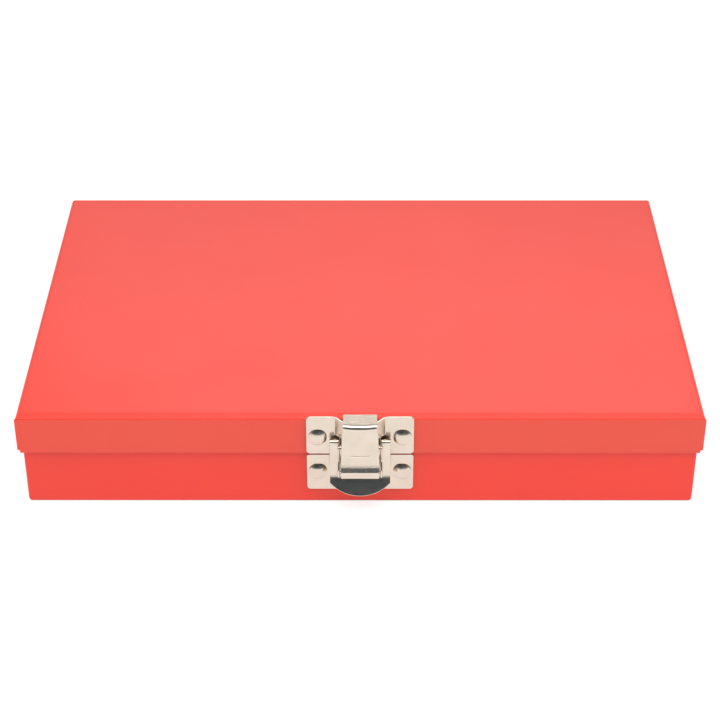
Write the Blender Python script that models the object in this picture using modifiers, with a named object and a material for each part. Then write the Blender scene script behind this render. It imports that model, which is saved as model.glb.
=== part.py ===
"""Flat sheet-steel tool case: hinged lid, over-centre toggle latch and a lift-out tray.

Metres, +X right, +Y back, +Z up. The origin is the middle of the base's underside and the latch
faces -Y. The lid turns on two riveted hinges at the back. The latch's lever turns on a pin between
two ears of its base plate, and carries the hasp that hooks over the keeper on the lid.
"""

import math

import bmesh
import bpy
from mathutils import Matrix, Vector

MM = 0.001

# ---- Clearances ----
GAP = 0.3 * MM  # between faces that rest on each other, and around rivets in their holes
PIN_PLAY = 0.25 * MM  # radial, around a pivot pin

# ---- Case ----
CASE_SHEET = 0.8 * MM
LID_WIDTH = 280.0 * MM  # outside, left to right
LID_DEPTH = 184.0 * MM  # outside, front to back
CASE_HEIGHT = 43.5 * MM  # floor to the top of the shut lid
LID_SKIRT = 17.5 * MM  # height of the lid's side walls
LID_OVERHANG = 1.7 * MM  # from the base's outer face to the lid's, on every side
LID_BEND = 2.1 * MM  # outer radius along the lid's top edges
BASE_BEND = 1.5 * MM  # outer radius along the base's bottom edges
WALL_CORNER = 1.5 * MM  # outer radius of the upright corners
FRONT_RIM_OVERLAP = 5.0 * MM  # how far the low front wall of the base stands up inside the lid
RIM_SLOPE = 16.0 * MM  # length over which the side walls drop to the low front wall

# ---- Rivets ----
RIVET_HEAD = 7.4 * MM  # diameter of the latch's rivet heads
RIVET_DOME = 1.4 * MM
RIVET_SHANK = 3.2 * MM
RIVET_TAIL = 5.0 * MM
RIVET_TAIL_HEIGHT = 0.9 * MM
THIN_TAIL_HEIGHT = 0.35 * MM  # where a tail lies between the lid and the base
HINGE_RIVET_HEAD = 5.6 * MM
HINGE_RIVET_DOME = 1.1 * MM
HINGE_RIVET_SHANK = 2.6 * MM
HINGE_RIVET_TAIL = 4.2 * MM

# ---- Hinges ----
HINGE_SPREAD = 170.0 * MM  # between the middles of the two hinges
HINGE_WIDTH = 40.0 * MM
HINGE_SHEET = 0.7 * MM
HINGE_KNUCKLE = 13.4 * MM  # length of the middle knuckle, which belongs to the lid leaf
HINGE_PIN = 1.8 * MM  # diameter
HINGE_DROP = 2.1 * MM  # from the lid's lower edge down to the pin's axis
HINGE_RIVET_SPREAD = 25.0 * MM
LID_LEAF_HEIGHT = 12.0 * MM  # above the lid's lower edge
LID_LEAF_RIVET = 6.4 * MM  # above the lid's lower edge
BASE_LEAF_BOTTOM = 8.0 * MM
BASE_LEAF_RIVET = 13.2 * MM
KNUCKLE_GAP = 0.4 * MM

# ---- Latch: plates ----
PLATE_SHEET = 0.8 * MM
PLATE_HALF = 21.9 * MM  # half width of both plates
PLATE_CORNER = 1.6 * MM
PLATE_SPLIT = 1.2 * MM  # between the keeper's wings and the latch's base plate
RIVET_X = 17.3 * MM  # rivets left and right of the middle
KEEPER_RISE = 1.2 * MM  # keeper's upper edge above the lid's top
KEEPER_BELOW = 0.6 * MM  # keeper's lower edge above the lid's lower edge
KEEPER_RIVET = 8.9 * MM  # above the lid's lower edge
BRIDGE_HALF = 6.4 * MM  # flat part of the bridge
BRIDGE_SHOULDER = 10.2 * MM  # where its shoulders bend out of the wings
BRIDGE_FOOT = 12.0 * MM  # half width of the opening under the bridge
BRIDGE_PROUD = 5.2 * MM  # bridge's front face in front of the lid
BRIDGE_HEIGHT = 8.4 * MM
WEB_GAP = 1.0 * MM  # slot under the bridge
WEB_SHEET = 0.6 * MM
LATCH_PLATE_BOTTOM = 7.3 * MM
LATCH_PLATE_RIVET = 16.5 * MM

# ---- Latch: lever ----
LEVER_PROUD = 4.6 * MM  # lever's front face in front of the lid
LEVER_HALF = 12.4 * MM
LEVER_TOP_GAP = 1.0 * MM  # under the bridge
LEVER_LIP_BOTTOM = 10.3 * MM
LEVER_LIP_PROUD = 9.0 * MM  # middle of the lip's lower edge in front of the lid
LEVER_FLARE_START = 17.6 * MM
LEVER_FLARE_RADIUS = 10.0 * MM
LEVER_LIP_RISE = 4.8 * MM  # from the middle of the lip up to its ends
LEVER_PIN = 1.5 * MM  # diameter
LEVER_PIN_BELOW_BRIDGE = 3.3 * MM
LEVER_PIN_PROUD = 5.9 * MM
CHEEK_SHEET = 0.7 * MM
EAR_SHEET = 0.6 * MM
SIDE_PLAY = 0.2 * MM  # between the hasp, the ears and the cheeks

# ---- Latch: hasp ----
HASP_SHEET = 0.9 * MM
HASP_WIDTH = 14.7 * MM
HASP_TOP_WIDTH = 13.9 * MM
HASP_ROLL_WIDTH = 15.6 * MM
HASP_PROUD = 7.3 * MM  # middle of the strap's sheet in front of the lid
HASP_BEND = 1.4 * MM
HASP_LIP = 0.5 * MM  # how far the hook's lip turns down behind the bridge
HASP_PIN = 1.9 * MM  # diameter
HASP_PIN_ABOVE_FLOOR = 20.8 * MM
HASP_PIN_PROUD = 6.6 * MM

# ---- Tray ----
TRAY_SHEET = 0.7 * MM
TRAY_SIDE_PLAY = 2.0 * MM  # around the tray, inside the base
TRAY_HEIGHT = 17.8 * MM
TRAY_HEAD_ROOM = 3.8 * MM  # between the tray's rim and the shut lid
TRAY_BEND = 2.0 * MM
NOTCH_WIDTH = 44.0 * MM  # finger notches in the two end walls
NOTCH_DEPTH = 8.0 * MM
NOTCH_CORNER = 4.0 * MM
DIVIDER_DROP = 2.5 * MM  # dividers' upper edges below the tray's rim
LONG_DIVIDER_Y = 18.0 * MM
CROSS_SPACING = 67.0 * MM
LEDGE_LENGTH = 130.0 * MM
LEDGE_WIDTH = 8.0 * MM
LEDGE_SHEET = 1.0 * MM
LEDGE_DROP = 9.0 * MM

# ---- Places that follow from the sizes ----
BASE_WIDTH = LID_WIDTH - 2 * LID_OVERHANG
BASE_DEPTH = LID_DEPTH - 2 * LID_OVERHANG
SEAM = CASE_HEIGHT - LID_SKIRT
LID_UNDER = CASE_HEIGHT - CASE_SHEET
BASE_RIM = LID_UNDER - GAP
FRONT_RIM = SEAM + FRONT_RIM_OVERLAP
LID_FRONT = -LID_DEPTH / 2
BASE_FRONT = -BASE_DEPTH / 2

KNUCKLE_RADIUS = HINGE_PIN / 2 + PIN_PLAY + HINGE_SHEET / 2  # to the middle of the sheet
LID_LEAF_Y = LID_DEPTH / 2 + GAP + HINGE_SHEET / 2
BASE_LEAF_Y = BASE_DEPTH / 2 + GAP + HINGE_SHEET / 2
HINGE_AXIS = Vector((0, LID_LEAF_Y + KNUCKLE_RADIUS, SEAM - HINGE_DROP))

KEEPER_BACK = LID_FRONT - GAP
KEEPER_TOP = CASE_HEIGHT + KEEPER_RISE
KEEPER_BOTTOM = SEAM + KEEPER_BELOW
BRIDGE_FRONT = LID_FRONT - BRIDGE_PROUD
BRIDGE_BOTTOM = KEEPER_TOP - BRIDGE_HEIGHT
LATCH_PLATE_BACK = BASE_FRONT - GAP
LATCH_PLATE_TOP = KEEPER_BOTTOM - PLATE_SPLIT
LEVER_AXIS = Vector((0, LID_FRONT - LEVER_PIN_PROUD, BRIDGE_BOTTOM - LEVER_PIN_BELOW_BRIDGE))
HASP_AXIS = Vector((0, LID_FRONT - HASP_PIN_PROUD, HASP_PIN_ABOVE_FLOOR))
EAR_INSIDE = HASP_WIDTH / 2 + SIDE_PLAY
CHEEK_INSIDE = EAR_INSIDE + EAR_SHEET + SIDE_PLAY
PIN_HALF_LENGTH = CHEEK_INSIDE + CHEEK_SHEET + GAP

TRAY_WIDTH = BASE_WIDTH - 2 * CASE_SHEET - 2 * TRAY_SIDE_PLAY
TRAY_DEPTH = BASE_DEPTH - 2 * CASE_SHEET - 2 * TRAY_SIDE_PLAY
TRAY_TOP = LID_UNDER - TRAY_HEAD_ROOM
TRAY_BOTTOM = TRAY_TOP - TRAY_HEIGHT

STEP = math.radians(22)  # longest arc between two points of a rounded outline


# ---- Scene ----
def clear_scene():
    for old in list(bpy.data.objects):
        bpy.data.objects.remove(old, do_unlink=True)


def new_collection(name):
    collection = bpy.data.collections.new(name)
    bpy.context.scene.collection.children.link(collection)
    return collection


def new_material(name, colour, roughness, metallic):
    made = bpy.data.materials.new(name)
    made.use_nodes = True
    surface = made.node_tree.nodes["Principled BSDF"]
    surface.inputs["Base Color"].default_value = (*colour, 1)
    surface.inputs["Roughness"].default_value = roughness
    surface.inputs["Metallic"].default_value = metallic
    return made


clear_scene()
PARTS = new_collection("flat_tool_case")
CUTTERS = new_collection("cutters")
CUTTERS.hide_render = True
RED = (0.86, 0.045, 0.03)
NICKEL = (0.78, 0.72, 0.65)


def as_part(obj, colour, roughness, metallic, smooth=False):
    """Makes obj a named piece of the case, with a material of its own."""
    PARTS.objects.link(obj)
    obj.data.materials.append(new_material(obj.name + "_finish", colour, roughness, metallic))
    if smooth:
        obj.data.shade_smooth()
        obj.data.set_sharp_from_angle(angle=math.radians(35))
    return obj


def painted(obj, smooth=False):
    return as_part(obj, RED, 0.35, 0.0, smooth)


def plated(obj, smooth=False):
    return as_part(obj, NICKEL, 0.25, 1.0, smooth)


def as_cutter(obj):
    CUTTERS.objects.link(obj)
    obj.hide_render = True
    obj.display_type = "WIRE"
    return obj


def combine(obj, other, operation):
    """Booleans another shape into obj: DIFFERENCE cuts it out, UNION adds it, INTERSECT trims."""
    modifier = obj.modifiers.new(operation.title(), "BOOLEAN")
    modifier.operation = operation
    modifier.solver = "EXACT"
    modifier.object = as_cutter(other)


# ---- Outlines ----
def rounded(points, closed=True):
    """Outline points from corners (x, y, radius); an open line keeps its two ends as they are."""
    out = []
    for i, (x, y, radius) in enumerate(points):
        here = Vector((x, y))
        at_end = not closed and i in (0, len(points) - 1)
        if radius <= 0 or at_end:
            out.append(here)
            continue
        before = (Vector(points[i - 1][:2]) - here).normalized()
        after = (Vector(points[(i + 1) % len(points)][:2]) - here).normalized()
        half = before.angle(after) / 2
        centre = here + (before + after).normalized() * (radius / math.sin(half))
        start = here + before * (radius / math.tan(half)) - centre
        end = here + after * (radius / math.tan(half)) - centre
        turn = math.copysign(math.pi - 2 * half, start.x * end.y - start.y * end.x)
        count = max(2, math.ceil(abs(turn) / STEP))
        out += [centre + turned(start, turn * k / count) for k in range(count + 1)]
    return out


def turned(point, angle):
    c, s = math.cos(angle), math.sin(angle)
    return Vector((c * point.x - s * point.y, s * point.x + c * point.y))


def arc(centre, radius, start, end, step=STEP):
    """Points along an arc, from one angle to another, in radians."""
    count = max(2, math.ceil(abs(end - start) / step))
    angles = [start + (end - start) * k / count for k in range(count + 1)]
    return [Vector(centre) + radius * Vector((math.cos(a), math.sin(a))) for a in angles]


def band(line, thickness):
    """Closed outline of a bent sheet whose middle runs along an open line of points."""
    left, right = [], []
    for i, point in enumerate(line):
        into = (point - line[i - 1]).normalized() if i else (line[1] - point).normalized()
        onward = (line[i + 1] - point).normalized() if i + 1 < len(line) else into
        side = Vector((-into.y, into.x))
        across = (side + Vector((-onward.y, onward.x))).normalized()
        reach = thickness / 2 / across.dot(side)
        left.append(point + across * reach)
        right.append(point - across * reach)
    return left + right[::-1]


# The plane of an outline: where its x, its y and its thickness point.
SIDE_VIEW = Matrix(((0, 0, 1), (1, 0, 0), (0, 1, 0))).to_4x4()  # outline in Y and Z, extruded in X
FRONT_VIEW = Matrix(((1, 0, 0), (0, 0, -1), (0, 1, 0))).to_4x4()  # in X and Z, extruded in Y
TOP_VIEW = Matrix.Identity(4)  # in X and Y, extruded in Z


def prism(name, outline, view, middle, thickness):
    """A flat outline given a thickness, with its middle at that distance along the third axis."""
    curve = bpy.data.curves.new(name, "CURVE")
    curve.dimensions = "2D"
    curve.fill_mode = "BOTH"
    curve.extrude = thickness / 2
    spline = curve.splines.new("POLY")
    spline.points.add(len(outline) - 1)
    for spot, point in zip(spline.points, outline):
        spot.co = (point.x, point.y, 0, 1)
    spline.use_cyclic_u = True
    maker = bpy.data.objects.new(name, curve)
    maker.matrix_world = view @ Matrix.Translation((0, 0, middle))
    PARTS.objects.link(maker)
    bpy.context.view_layer.update()
    graph = bpy.context.evaluated_depsgraph_get()
    mesh = bpy.data.meshes.new_from_object(maker.evaluated_get(graph))
    shape = bmesh.new()
    shape.from_mesh(mesh)
    bmesh.ops.remove_doubles(shape, verts=shape.verts, dist=1e-7)
    bmesh.ops.recalc_face_normals(shape, faces=shape.faces)
    shape.to_mesh(mesh)
    shape.free()
    made = bpy.data.objects.new(name, mesh)
    made.matrix_world = maker.matrix_world.copy()
    bpy.data.objects.remove(maker, do_unlink=True)
    bpy.data.curves.remove(curve)
    made.name = name
    return made


def front_prism(name, outline, y_front, y_back):
    """A front-view outline that fills the depth from y_front to y_back."""
    return prism(name, outline, FRONT_VIEW, -(y_front + y_back) / 2, y_back - y_front)


def cylinder(name, centre, direction, radius, length, sides=24):
    """A closed cylinder with its middle at centre, along direction."""
    shape = bmesh.new()
    bmesh.ops.create_cone(
        shape, cap_ends=True, segments=sides, radius1=radius, radius2=radius, depth=length
    )
    mesh = bpy.data.meshes.new(name)
    shape.to_mesh(mesh)
    shape.free()
    made = bpy.data.objects.new(name, mesh)
    made.rotation_euler = Vector(direction).to_track_quat("Z", "Y").to_euler()
    made.location = centre
    return made


def box(name, low, high):
    shape = bmesh.new()
    low, high = Vector(low), Vector(high)
    bmesh.ops.create_cube(shape, size=1, matrix=Matrix.Diagonal((*(high - low), 1)))
    mesh = bpy.data.meshes.new(name)
    shape.to_mesh(mesh)
    shape.free()
    made = bpy.data.objects.new(name, mesh)
    made.location = (low + high) / 2
    return made


def open_box(name, low, high, open_side, sheet, floor_bend, corner):
    """A pressed sheet pan: one face of a box removed, its bends rounded, and the sheet inward.

    open_side is 1 for a pan that is open at the top and -1 for a lid that is open below.
    """
    made = box(name, low, high)
    shape = bmesh.new()
    shape.from_mesh(made.data)
    shape.faces.ensure_lookup_table()
    opening = [f for f in shape.faces if f.normal.z * open_side > 0.5]
    bmesh.ops.delete(shape, geom=opening, context="FACES_ONLY")
    widest = max(floor_bend, corner)
    weight = shape.edges.layers.float.new("bevel_weight_edge")
    for edge in shape.edges:
        upright = abs((edge.verts[0].co - edge.verts[1].co).normalized().z) > 0.5
        if not edge.is_boundary:
            edge[weight] = (corner if upright else floor_bend) / widest
    shape.to_mesh(made.data)
    shape.free()
    bends = made.modifiers.new("Bends", "BEVEL")
    bends.limit_method = "WEIGHT"
    bends.width = widest
    bends.segments = 3
    bends.miter_outer = "MITER_ARC"
    walls = made.modifiers.new("Sheet", "SOLIDIFY")
    walls.thickness = sheet
    walls.offset = -1
    walls.use_even_offset = True
    return made


# ---- Rivets ----
def rivet(name, at, outward, grip, head, dome, shank, tail, tail_height):
    """A dome-headed rivet. at is under its head, and grip is from there to its tail."""
    sphere = (head * head / 4 + dome * dome) / (2 * dome)
    edge = math.asin(head / 2 / sphere)
    cap = [
        (sphere * math.sin(edge * k / 4), dome - sphere + sphere * math.cos(edge * k / 4))
        for k in range(5)
    ]
    turned_profile = cap + [
        (shank / 2, 0),
        (shank / 2, -grip),
        (tail / 2, -grip),
        (tail / 2, -grip - tail_height),
        (0, -grip - tail_height),
    ]
    mesh = bpy.data.meshes.new(name)
    edges = [(i, i + 1) for i in range(len(turned_profile) - 1)]
    mesh.from_pydata([(x, 0, z) for x, z in turned_profile], edges, [])
    made = bpy.data.objects.new(name, mesh)
    spin = made.modifiers.new("Turned", "SCREW")
    spin.steps = spin.render_steps = 20
    spin.use_merge_vertices = True
    spin.merge_threshold = 0.00001
    made.rotation_euler = Vector((0, outward, 0)).to_track_quat("Z", "X").to_euler()
    made.location = at
    return plated(made, smooth=True)


def rivet_hole(name, x, y, z, shank, reach=6 * MM):
    return cylinder(name, (x, y, z), (0, 1, 0), shank / 2 + GAP, reach, sides=20)


SIDES = (("L", -1), ("R", 1))
latch_rivets = [(side, sign * RIVET_X) for side, sign in SIDES]
hinge_middles = [(side, sign * HINGE_SPREAD / 2) for side, sign in SIDES]
hinge_rivets = [
    (f"{side}{number}", middle + offset * HINGE_RIVET_SPREAD / 2)
    for side, middle in hinge_middles
    for number, offset in ((1, -1), (2, 1))
]

# ---- Base pan ----
base_pan = open_box(
    "base_pan",
    (-BASE_WIDTH / 2, -BASE_DEPTH / 2, 0),
    (BASE_WIDTH / 2, BASE_DEPTH / 2, BASE_RIM),
    1,
    CASE_SHEET,
    BASE_BEND,
    WALL_CORNER,
)
above_rim = BASE_RIM + 5 * MM
slope_start = BASE_FRONT + CASE_SHEET + 3 * MM
low_front = [
    Vector((BASE_FRONT - 5 * MM, FRONT_RIM)),
    Vector((slope_start, FRONT_RIM)),
    Vector((slope_start + RIM_SLOPE, BASE_RIM)),
    Vector((slope_start + RIM_SLOPE, above_rim)),
    Vector((BASE_FRONT - 5 * MM, above_rim)),
]
combine(
    base_pan,
    prism("cut_low_front", low_front, SIDE_VIEW, 0, BASE_WIDTH + 20 * MM),
    "DIFFERENCE",
)
for side, x in latch_rivets:
    hole = rivet_hole(f"cut_base_latch_{side}", x, BASE_FRONT, LATCH_PLATE_RIVET, RIVET_SHANK)
    combine(base_pan, hole, "DIFFERENCE")
for side, x in hinge_rivets:
    hole = rivet_hole(
        f"cut_base_hinge_{side}", x, BASE_DEPTH / 2, BASE_LEAF_RIVET, HINGE_RIVET_SHANK
    )
    combine(base_pan, hole, "DIFFERENCE")
painted(base_pan)

# ---- Ledges that carry the tray, one on each end wall ----
ledge_top = TRAY_BOTTOM - GAP
for side, sign in SIDES:
    wall = BASE_WIDTH / 2 - CASE_SHEET - GAP - LEDGE_SHEET / 2
    middle_line = rounded(
        [
            (sign * wall, ledge_top - LEDGE_DROP, 0),
            (sign * wall, ledge_top - LEDGE_SHEET / 2, 1.2 * MM),
            (sign * (wall - LEDGE_WIDTH), ledge_top - LEDGE_SHEET / 2, 0),
        ],
        closed=False,
    )
    painted(
        front_prism(
            f"tray_ledge_{side}",
            band(middle_line, LEDGE_SHEET),
            -LEDGE_LENGTH / 2,
            LEDGE_LENGTH / 2,
        )
    )

# ---- Lid shell ----
lid_shell = open_box(
    "lid_shell",
    (-LID_WIDTH / 2, -LID_DEPTH / 2, SEAM),
    (LID_WIDTH / 2, LID_DEPTH / 2, CASE_HEIGHT),
    -1,
    CASE_SHEET,
    LID_BEND,
    WALL_CORNER,
)
for side, x in latch_rivets:
    hole = rivet_hole(
        f"cut_lid_keeper_{side}", x, LID_FRONT, SEAM + KEEPER_RIVET, RIVET_SHANK
    )
    combine(lid_shell, hole, "DIFFERENCE")
for side, x in hinge_rivets:
    hole = rivet_hole(
        f"cut_lid_hinge_{side}", x, LID_DEPTH / 2, SEAM + LID_LEAF_RIVET, HINGE_RIVET_SHANK
    )
    combine(lid_shell, hole, "DIFFERENCE")
painted(lid_shell)


# ---- Hinges ----
def curl(start, sweep):
    """Middle line of a sheet rolled around the hinge pin, in Y and Z."""
    centre = (HINGE_AXIS.y, HINGE_AXIS.z)
    return arc(centre, KNUCKLE_RADIUS, start, start + sweep, math.radians(30))


joggle_top = HINGE_AXIS.z - KNUCKLE_RADIUS - HINGE_SHEET
joggle_low = joggle_top - 1.5 * (LID_LEAF_Y - BASE_LEAF_Y)
base_leaf_line = (
    rounded(
        [
            (BASE_LEAF_Y, BASE_LEAF_BOTTOM, 0),
            (BASE_LEAF_Y, joggle_low, 1.0 * MM),
            (LID_LEAF_Y, joggle_top, 1.0 * MM),
            (LID_LEAF_Y, HINGE_AXIS.z - 0.2 * MM, 0),
        ],
        closed=False,
    )
    + curl(math.pi, math.radians(-280))
)
lid_leaf_line = [Vector((LID_LEAF_Y, SEAM + LID_LEAF_HEIGHT))] + curl(
    math.pi, math.radians(280)
)
outer_knuckles = HINGE_KNUCKLE + 2 * KNUCKLE_GAP
knuckle_room = KNUCKLE_RADIUS + HINGE_SHEET + GAP
for side, middle in hinge_middles:
    leaf = prism(
        f"hinge_base_leaf_{side}",
        band(base_leaf_line, HINGE_SHEET),
        SIDE_VIEW,
        middle,
        HINGE_WIDTH,
    )
    low = (middle - outer_knuckles / 2, LID_LEAF_Y - 2 * MM, HINGE_AXIS.z - knuckle_room)
    high = (middle + outer_knuckles / 2, HINGE_AXIS.y + 4 * MM, SEAM + 2 * MM)
    combine(leaf, box(f"cut_knuckle_room_{side}", low, high), "DIFFERENCE")
    for number, offset in ((1, -1), (2, 1)):
        x = middle + offset * HINGE_RIVET_SPREAD / 2
        hole = rivet_hole(
            f"cut_base_leaf_{side}{number}", x, BASE_LEAF_Y, BASE_LEAF_RIVET, HINGE_RIVET_SHANK
        )
        combine(leaf, hole, "DIFFERENCE")
    plated(leaf, smooth=True)

    leaf = prism(
        f"hinge_lid_leaf_{side}", band(lid_leaf_line, HINGE_SHEET), SIDE_VIEW, middle, HINGE_WIDTH
    )
    for number, sign in ((1, -1), (2, 1)):
        inner = middle + sign * HINGE_KNUCKLE / 2
        outer = middle + sign * (HINGE_WIDTH / 2 + 1 * MM)
        low = (min(inner, outer), LID_LEAF_Y - 2 * MM, HINGE_AXIS.z - 5 * MM)
        high = (max(inner, outer), HINGE_AXIS.y + 4 * MM, HINGE_AXIS.z + knuckle_room)
        combine(leaf, box(f"cut_lid_leaf_end_{side}{number}", low, high), "DIFFERENCE")
        x = middle + sign * HINGE_RIVET_SPREAD / 2
        hole = rivet_hole(
            f"cut_lid_leaf_{side}{number}",
            x,
            LID_LEAF_Y,
            SEAM + LID_LEAF_RIVET,
            HINGE_RIVET_SHANK,
        )
        combine(leaf, hole, "DIFFERENCE")
    plated(leaf, smooth=True)
    plated(
        cylinder(
            f"hinge_pin_{side}",
            (middle, HINGE_AXIS.y, HINGE_AXIS.z),
            (1, 0, 0),
            HINGE_PIN / 2,
            HINGE_WIDTH + 2 * MM,
        ),
        smooth=True,
    )

for side, x in hinge_rivets:
    rivet(
        f"base_leaf_rivet_{side}",
        (x, BASE_LEAF_Y + HINGE_SHEET / 2 + GAP, BASE_LEAF_RIVET),
        1,
        HINGE_SHEET + CASE_SHEET + 3 * GAP,
        HINGE_RIVET_HEAD,
        HINGE_RIVET_DOME,
        HINGE_RIVET_SHANK,
        HINGE_RIVET_TAIL,
        RIVET_TAIL_HEIGHT,
    )
    rivet(
        f"lid_leaf_rivet_{side}",
        (x, LID_LEAF_Y + HINGE_SHEET / 2 + GAP, SEAM + LID_LEAF_RIVET),
        1,
        HINGE_SHEET + CASE_SHEET + 2.8 * GAP,
        HINGE_RIVET_HEAD,
        HINGE_RIVET_DOME,
        HINGE_RIVET_SHANK,
        HINGE_RIVET_TAIL,
        THIN_TAIL_HEIGHT,
    )

# ---- Keeper on the lid: two wings, a raised bridge between them and a flat web below it ----
wing_y = KEEPER_BACK - PLATE_SHEET / 2
bridge_y = BRIDGE_FRONT + PLATE_SHEET / 2
shoulder = 1.3 * MM
right_half = [
    (BRIDGE_HALF, bridge_y, shoulder),
    (BRIDGE_SHOULDER, wing_y, shoulder),
    (PLATE_HALF, wing_y, 0),
]
left_half = [(-x, y, r) for x, y, r in reversed(right_half)]
keeper_plate = prism(
    "keeper_plate",
    band(rounded(left_half + right_half, closed=False), PLATE_SHEET),
    TOP_VIEW,
    (KEEPER_TOP + KEEPER_BOTTOM) / 2,
    KEEPER_TOP - KEEPER_BOTTOM,
)
keeper_outline = rounded(
    [
        (-PLATE_HALF, KEEPER_TOP, PLATE_CORNER),
        (PLATE_HALF, KEEPER_TOP, PLATE_CORNER),
        (PLATE_HALF, KEEPER_BOTTOM, PLATE_CORNER),
        (BRIDGE_FOOT, KEEPER_BOTTOM, 0),
        (BRIDGE_FOOT, BRIDGE_BOTTOM, 0),
        (-BRIDGE_FOOT, BRIDGE_BOTTOM, 0),
        (-BRIDGE_FOOT, KEEPER_BOTTOM, 0),
        (-PLATE_HALF, KEEPER_BOTTOM, PLATE_CORNER),
    ]
)
combine(
    keeper_plate,
    front_prism("trim_keeper", keeper_outline, BRIDGE_FRONT - 1 * MM, LID_FRONT + 1 * MM),
    "INTERSECT",
)
web_half = BRIDGE_FOOT + 0.6 * MM
combine(
    keeper_plate,
    box(
        "add_keeper_web",
        (-web_half, wing_y - WEB_SHEET / 2, KEEPER_BOTTOM + 0.3 * MM),
        (web_half, wing_y + WEB_SHEET / 2, BRIDGE_BOTTOM - WEB_GAP),
    ),
    "UNION",
)
for side, x in latch_rivets:
    hole = rivet_hole(f"cut_keeper_{side}", x, wing_y, SEAM + KEEPER_RIVET, RIVET_SHANK)
    combine(keeper_plate, hole, "DIFFERENCE")
    rivet(
        f"keeper_rivet_{side}",
        (x, KEEPER_BACK - PLATE_SHEET - GAP, SEAM + KEEPER_RIVET),
        -1,
        PLATE_SHEET + CASE_SHEET + 3 * GAP,
        RIVET_HEAD,
        RIVET_DOME,
        RIVET_SHANK,
        RIVET_TAIL,
        THIN_TAIL_HEIGHT,
    )
plated(keeper_plate, smooth=True)

# ---- Latch base plate on the base, with two ears for the lever's pin ----
plate_front = LATCH_PLATE_BACK - PLATE_SHEET
latch_plate_outline = rounded(
    [
        (-PLATE_HALF, LATCH_PLATE_TOP, PLATE_CORNER * 0.6),
        (-PLATE_HALF, LATCH_PLATE_BOTTOM, PLATE_CORNER),
        (PLATE_HALF, LATCH_PLATE_BOTTOM, PLATE_CORNER),
        (PLATE_HALF, LATCH_PLATE_TOP, PLATE_CORNER * 0.6),
    ]
)
latch_base_plate = front_prism(
    "latch_base_plate", latch_plate_outline, plate_front, LATCH_PLATE_BACK
)
keeper_front = KEEPER_BACK - PLATE_SHEET
ear_reach = LEVER_AXIS.y - 1.7 * MM
ear_top = LEVER_AXIS.z + 1.5 * MM
ear_outline = rounded(
    [
        (plate_front + PLATE_SHEET / 2, LATCH_PLATE_TOP - 13.0 * MM, 0),
        (plate_front - 2.4 * MM, LATCH_PLATE_TOP - 11.0 * MM, 1.0 * MM),
        (LEVER_AXIS.y + 2.0 * MM, LATCH_PLATE_TOP - 1.5 * MM, 1.0 * MM),
        (ear_reach, LEVER_AXIS.z - 2.0 * MM, 1.0 * MM),
        (ear_reach, ear_top, 1.4 * MM),
        (keeper_front - 0.6 * MM, ear_top, 1.4 * MM),
        (keeper_front - 0.6 * MM, LATCH_PLATE_TOP - 0.4 * MM, 0.4 * MM),
        (plate_front + PLATE_SHEET / 2, LATCH_PLATE_TOP - 0.4 * MM, 0),
    ]
)
for side, sign in SIDES:
    ear = prism(
        f"add_ear_{side}",
        ear_outline,
        SIDE_VIEW,
        sign * (EAR_INSIDE + EAR_SHEET / 2),
        EAR_SHEET,
    )
    combine(latch_base_plate, ear, "UNION")
combine(
    latch_base_plate,
    cylinder("cut_ear_holes", LEVER_AXIS, (1, 0, 0), LEVER_PIN / 2 + PIN_PLAY, 30 * MM, 20),
    "DIFFERENCE",
)
for side, x in latch_rivets:
    hole = rivet_hole(f"cut_plate_{side}", x, plate_front, LATCH_PLATE_RIVET, RIVET_SHANK)
    combine(latch_base_plate, hole, "DIFFERENCE")
    rivet(
        f"latch_rivet_{side}",
        (x, plate_front - GAP, LATCH_PLATE_RIVET),
        -1,
        PLATE_SHEET + CASE_SHEET + 3 * GAP,
        RIVET_HEAD,
        RIVET_DOME,
        RIVET_SHANK,
        RIVET_TAIL,
        RIVET_TAIL_HEIGHT,
    )
plated(latch_base_plate, smooth=True)
plated(
    cylinder("lever_pin", LEVER_AXIS, (1, 0, 0), LEVER_PIN / 2, 2 * PIN_HALF_LENGTH, 20),
    smooth=True,
)

# ---- Lever: a plate with a window for the hasp, two cheeks for the pins and a flared lip ----
lever_y = LID_FRONT - LEVER_PROUD + PLATE_SHEET / 2
lever_top = BRIDGE_BOTTOM - LEVER_TOP_GAP
window_half = CHEEK_INSIDE + 0.2 * MM
flare_drop = LEVER_FLARE_START - LEVER_LIP_BOTTOM
flare_out = LEVER_LIP_PROUD - LEVER_PROUD
# The lip's middle line leaves the plate tangentially and curves outward to the lip's edge.
flare_sweep = math.asin(min(0.95, flare_drop / LEVER_FLARE_RADIUS))
flare_centre = (lever_y - LEVER_FLARE_RADIUS, LEVER_FLARE_START)
flare = [
    Vector(
        (
            lever_y
            - flare_out * (1 - math.cos(flare_sweep * k / 5)) / (1 - math.cos(flare_sweep)),
            LEVER_FLARE_START - flare_drop * math.sin(flare_sweep * k / 5) / math.sin(flare_sweep),
        )
    )
    for k in range(6)
]
latch_lever = prism(
    "latch_lever",
    band([Vector((lever_y, lever_top))] + flare, PLATE_SHEET),
    SIDE_VIEW,
    0,
    2 * LEVER_HALF,
)
lip_radius = (LEVER_HALF**2 + LEVER_LIP_RISE**2) / (2 * LEVER_LIP_RISE)
lip_bottom = LEVER_LIP_BOTTOM + 0.1 * MM
lip_half_angle = math.asin(LEVER_HALF / lip_radius)
lip_edge = arc(
    (0, lip_bottom + lip_radius),
    lip_radius,
    -math.pi / 2 - lip_half_angle,
    -math.pi / 2 + lip_half_angle,
    math.radians(12),
)
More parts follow.
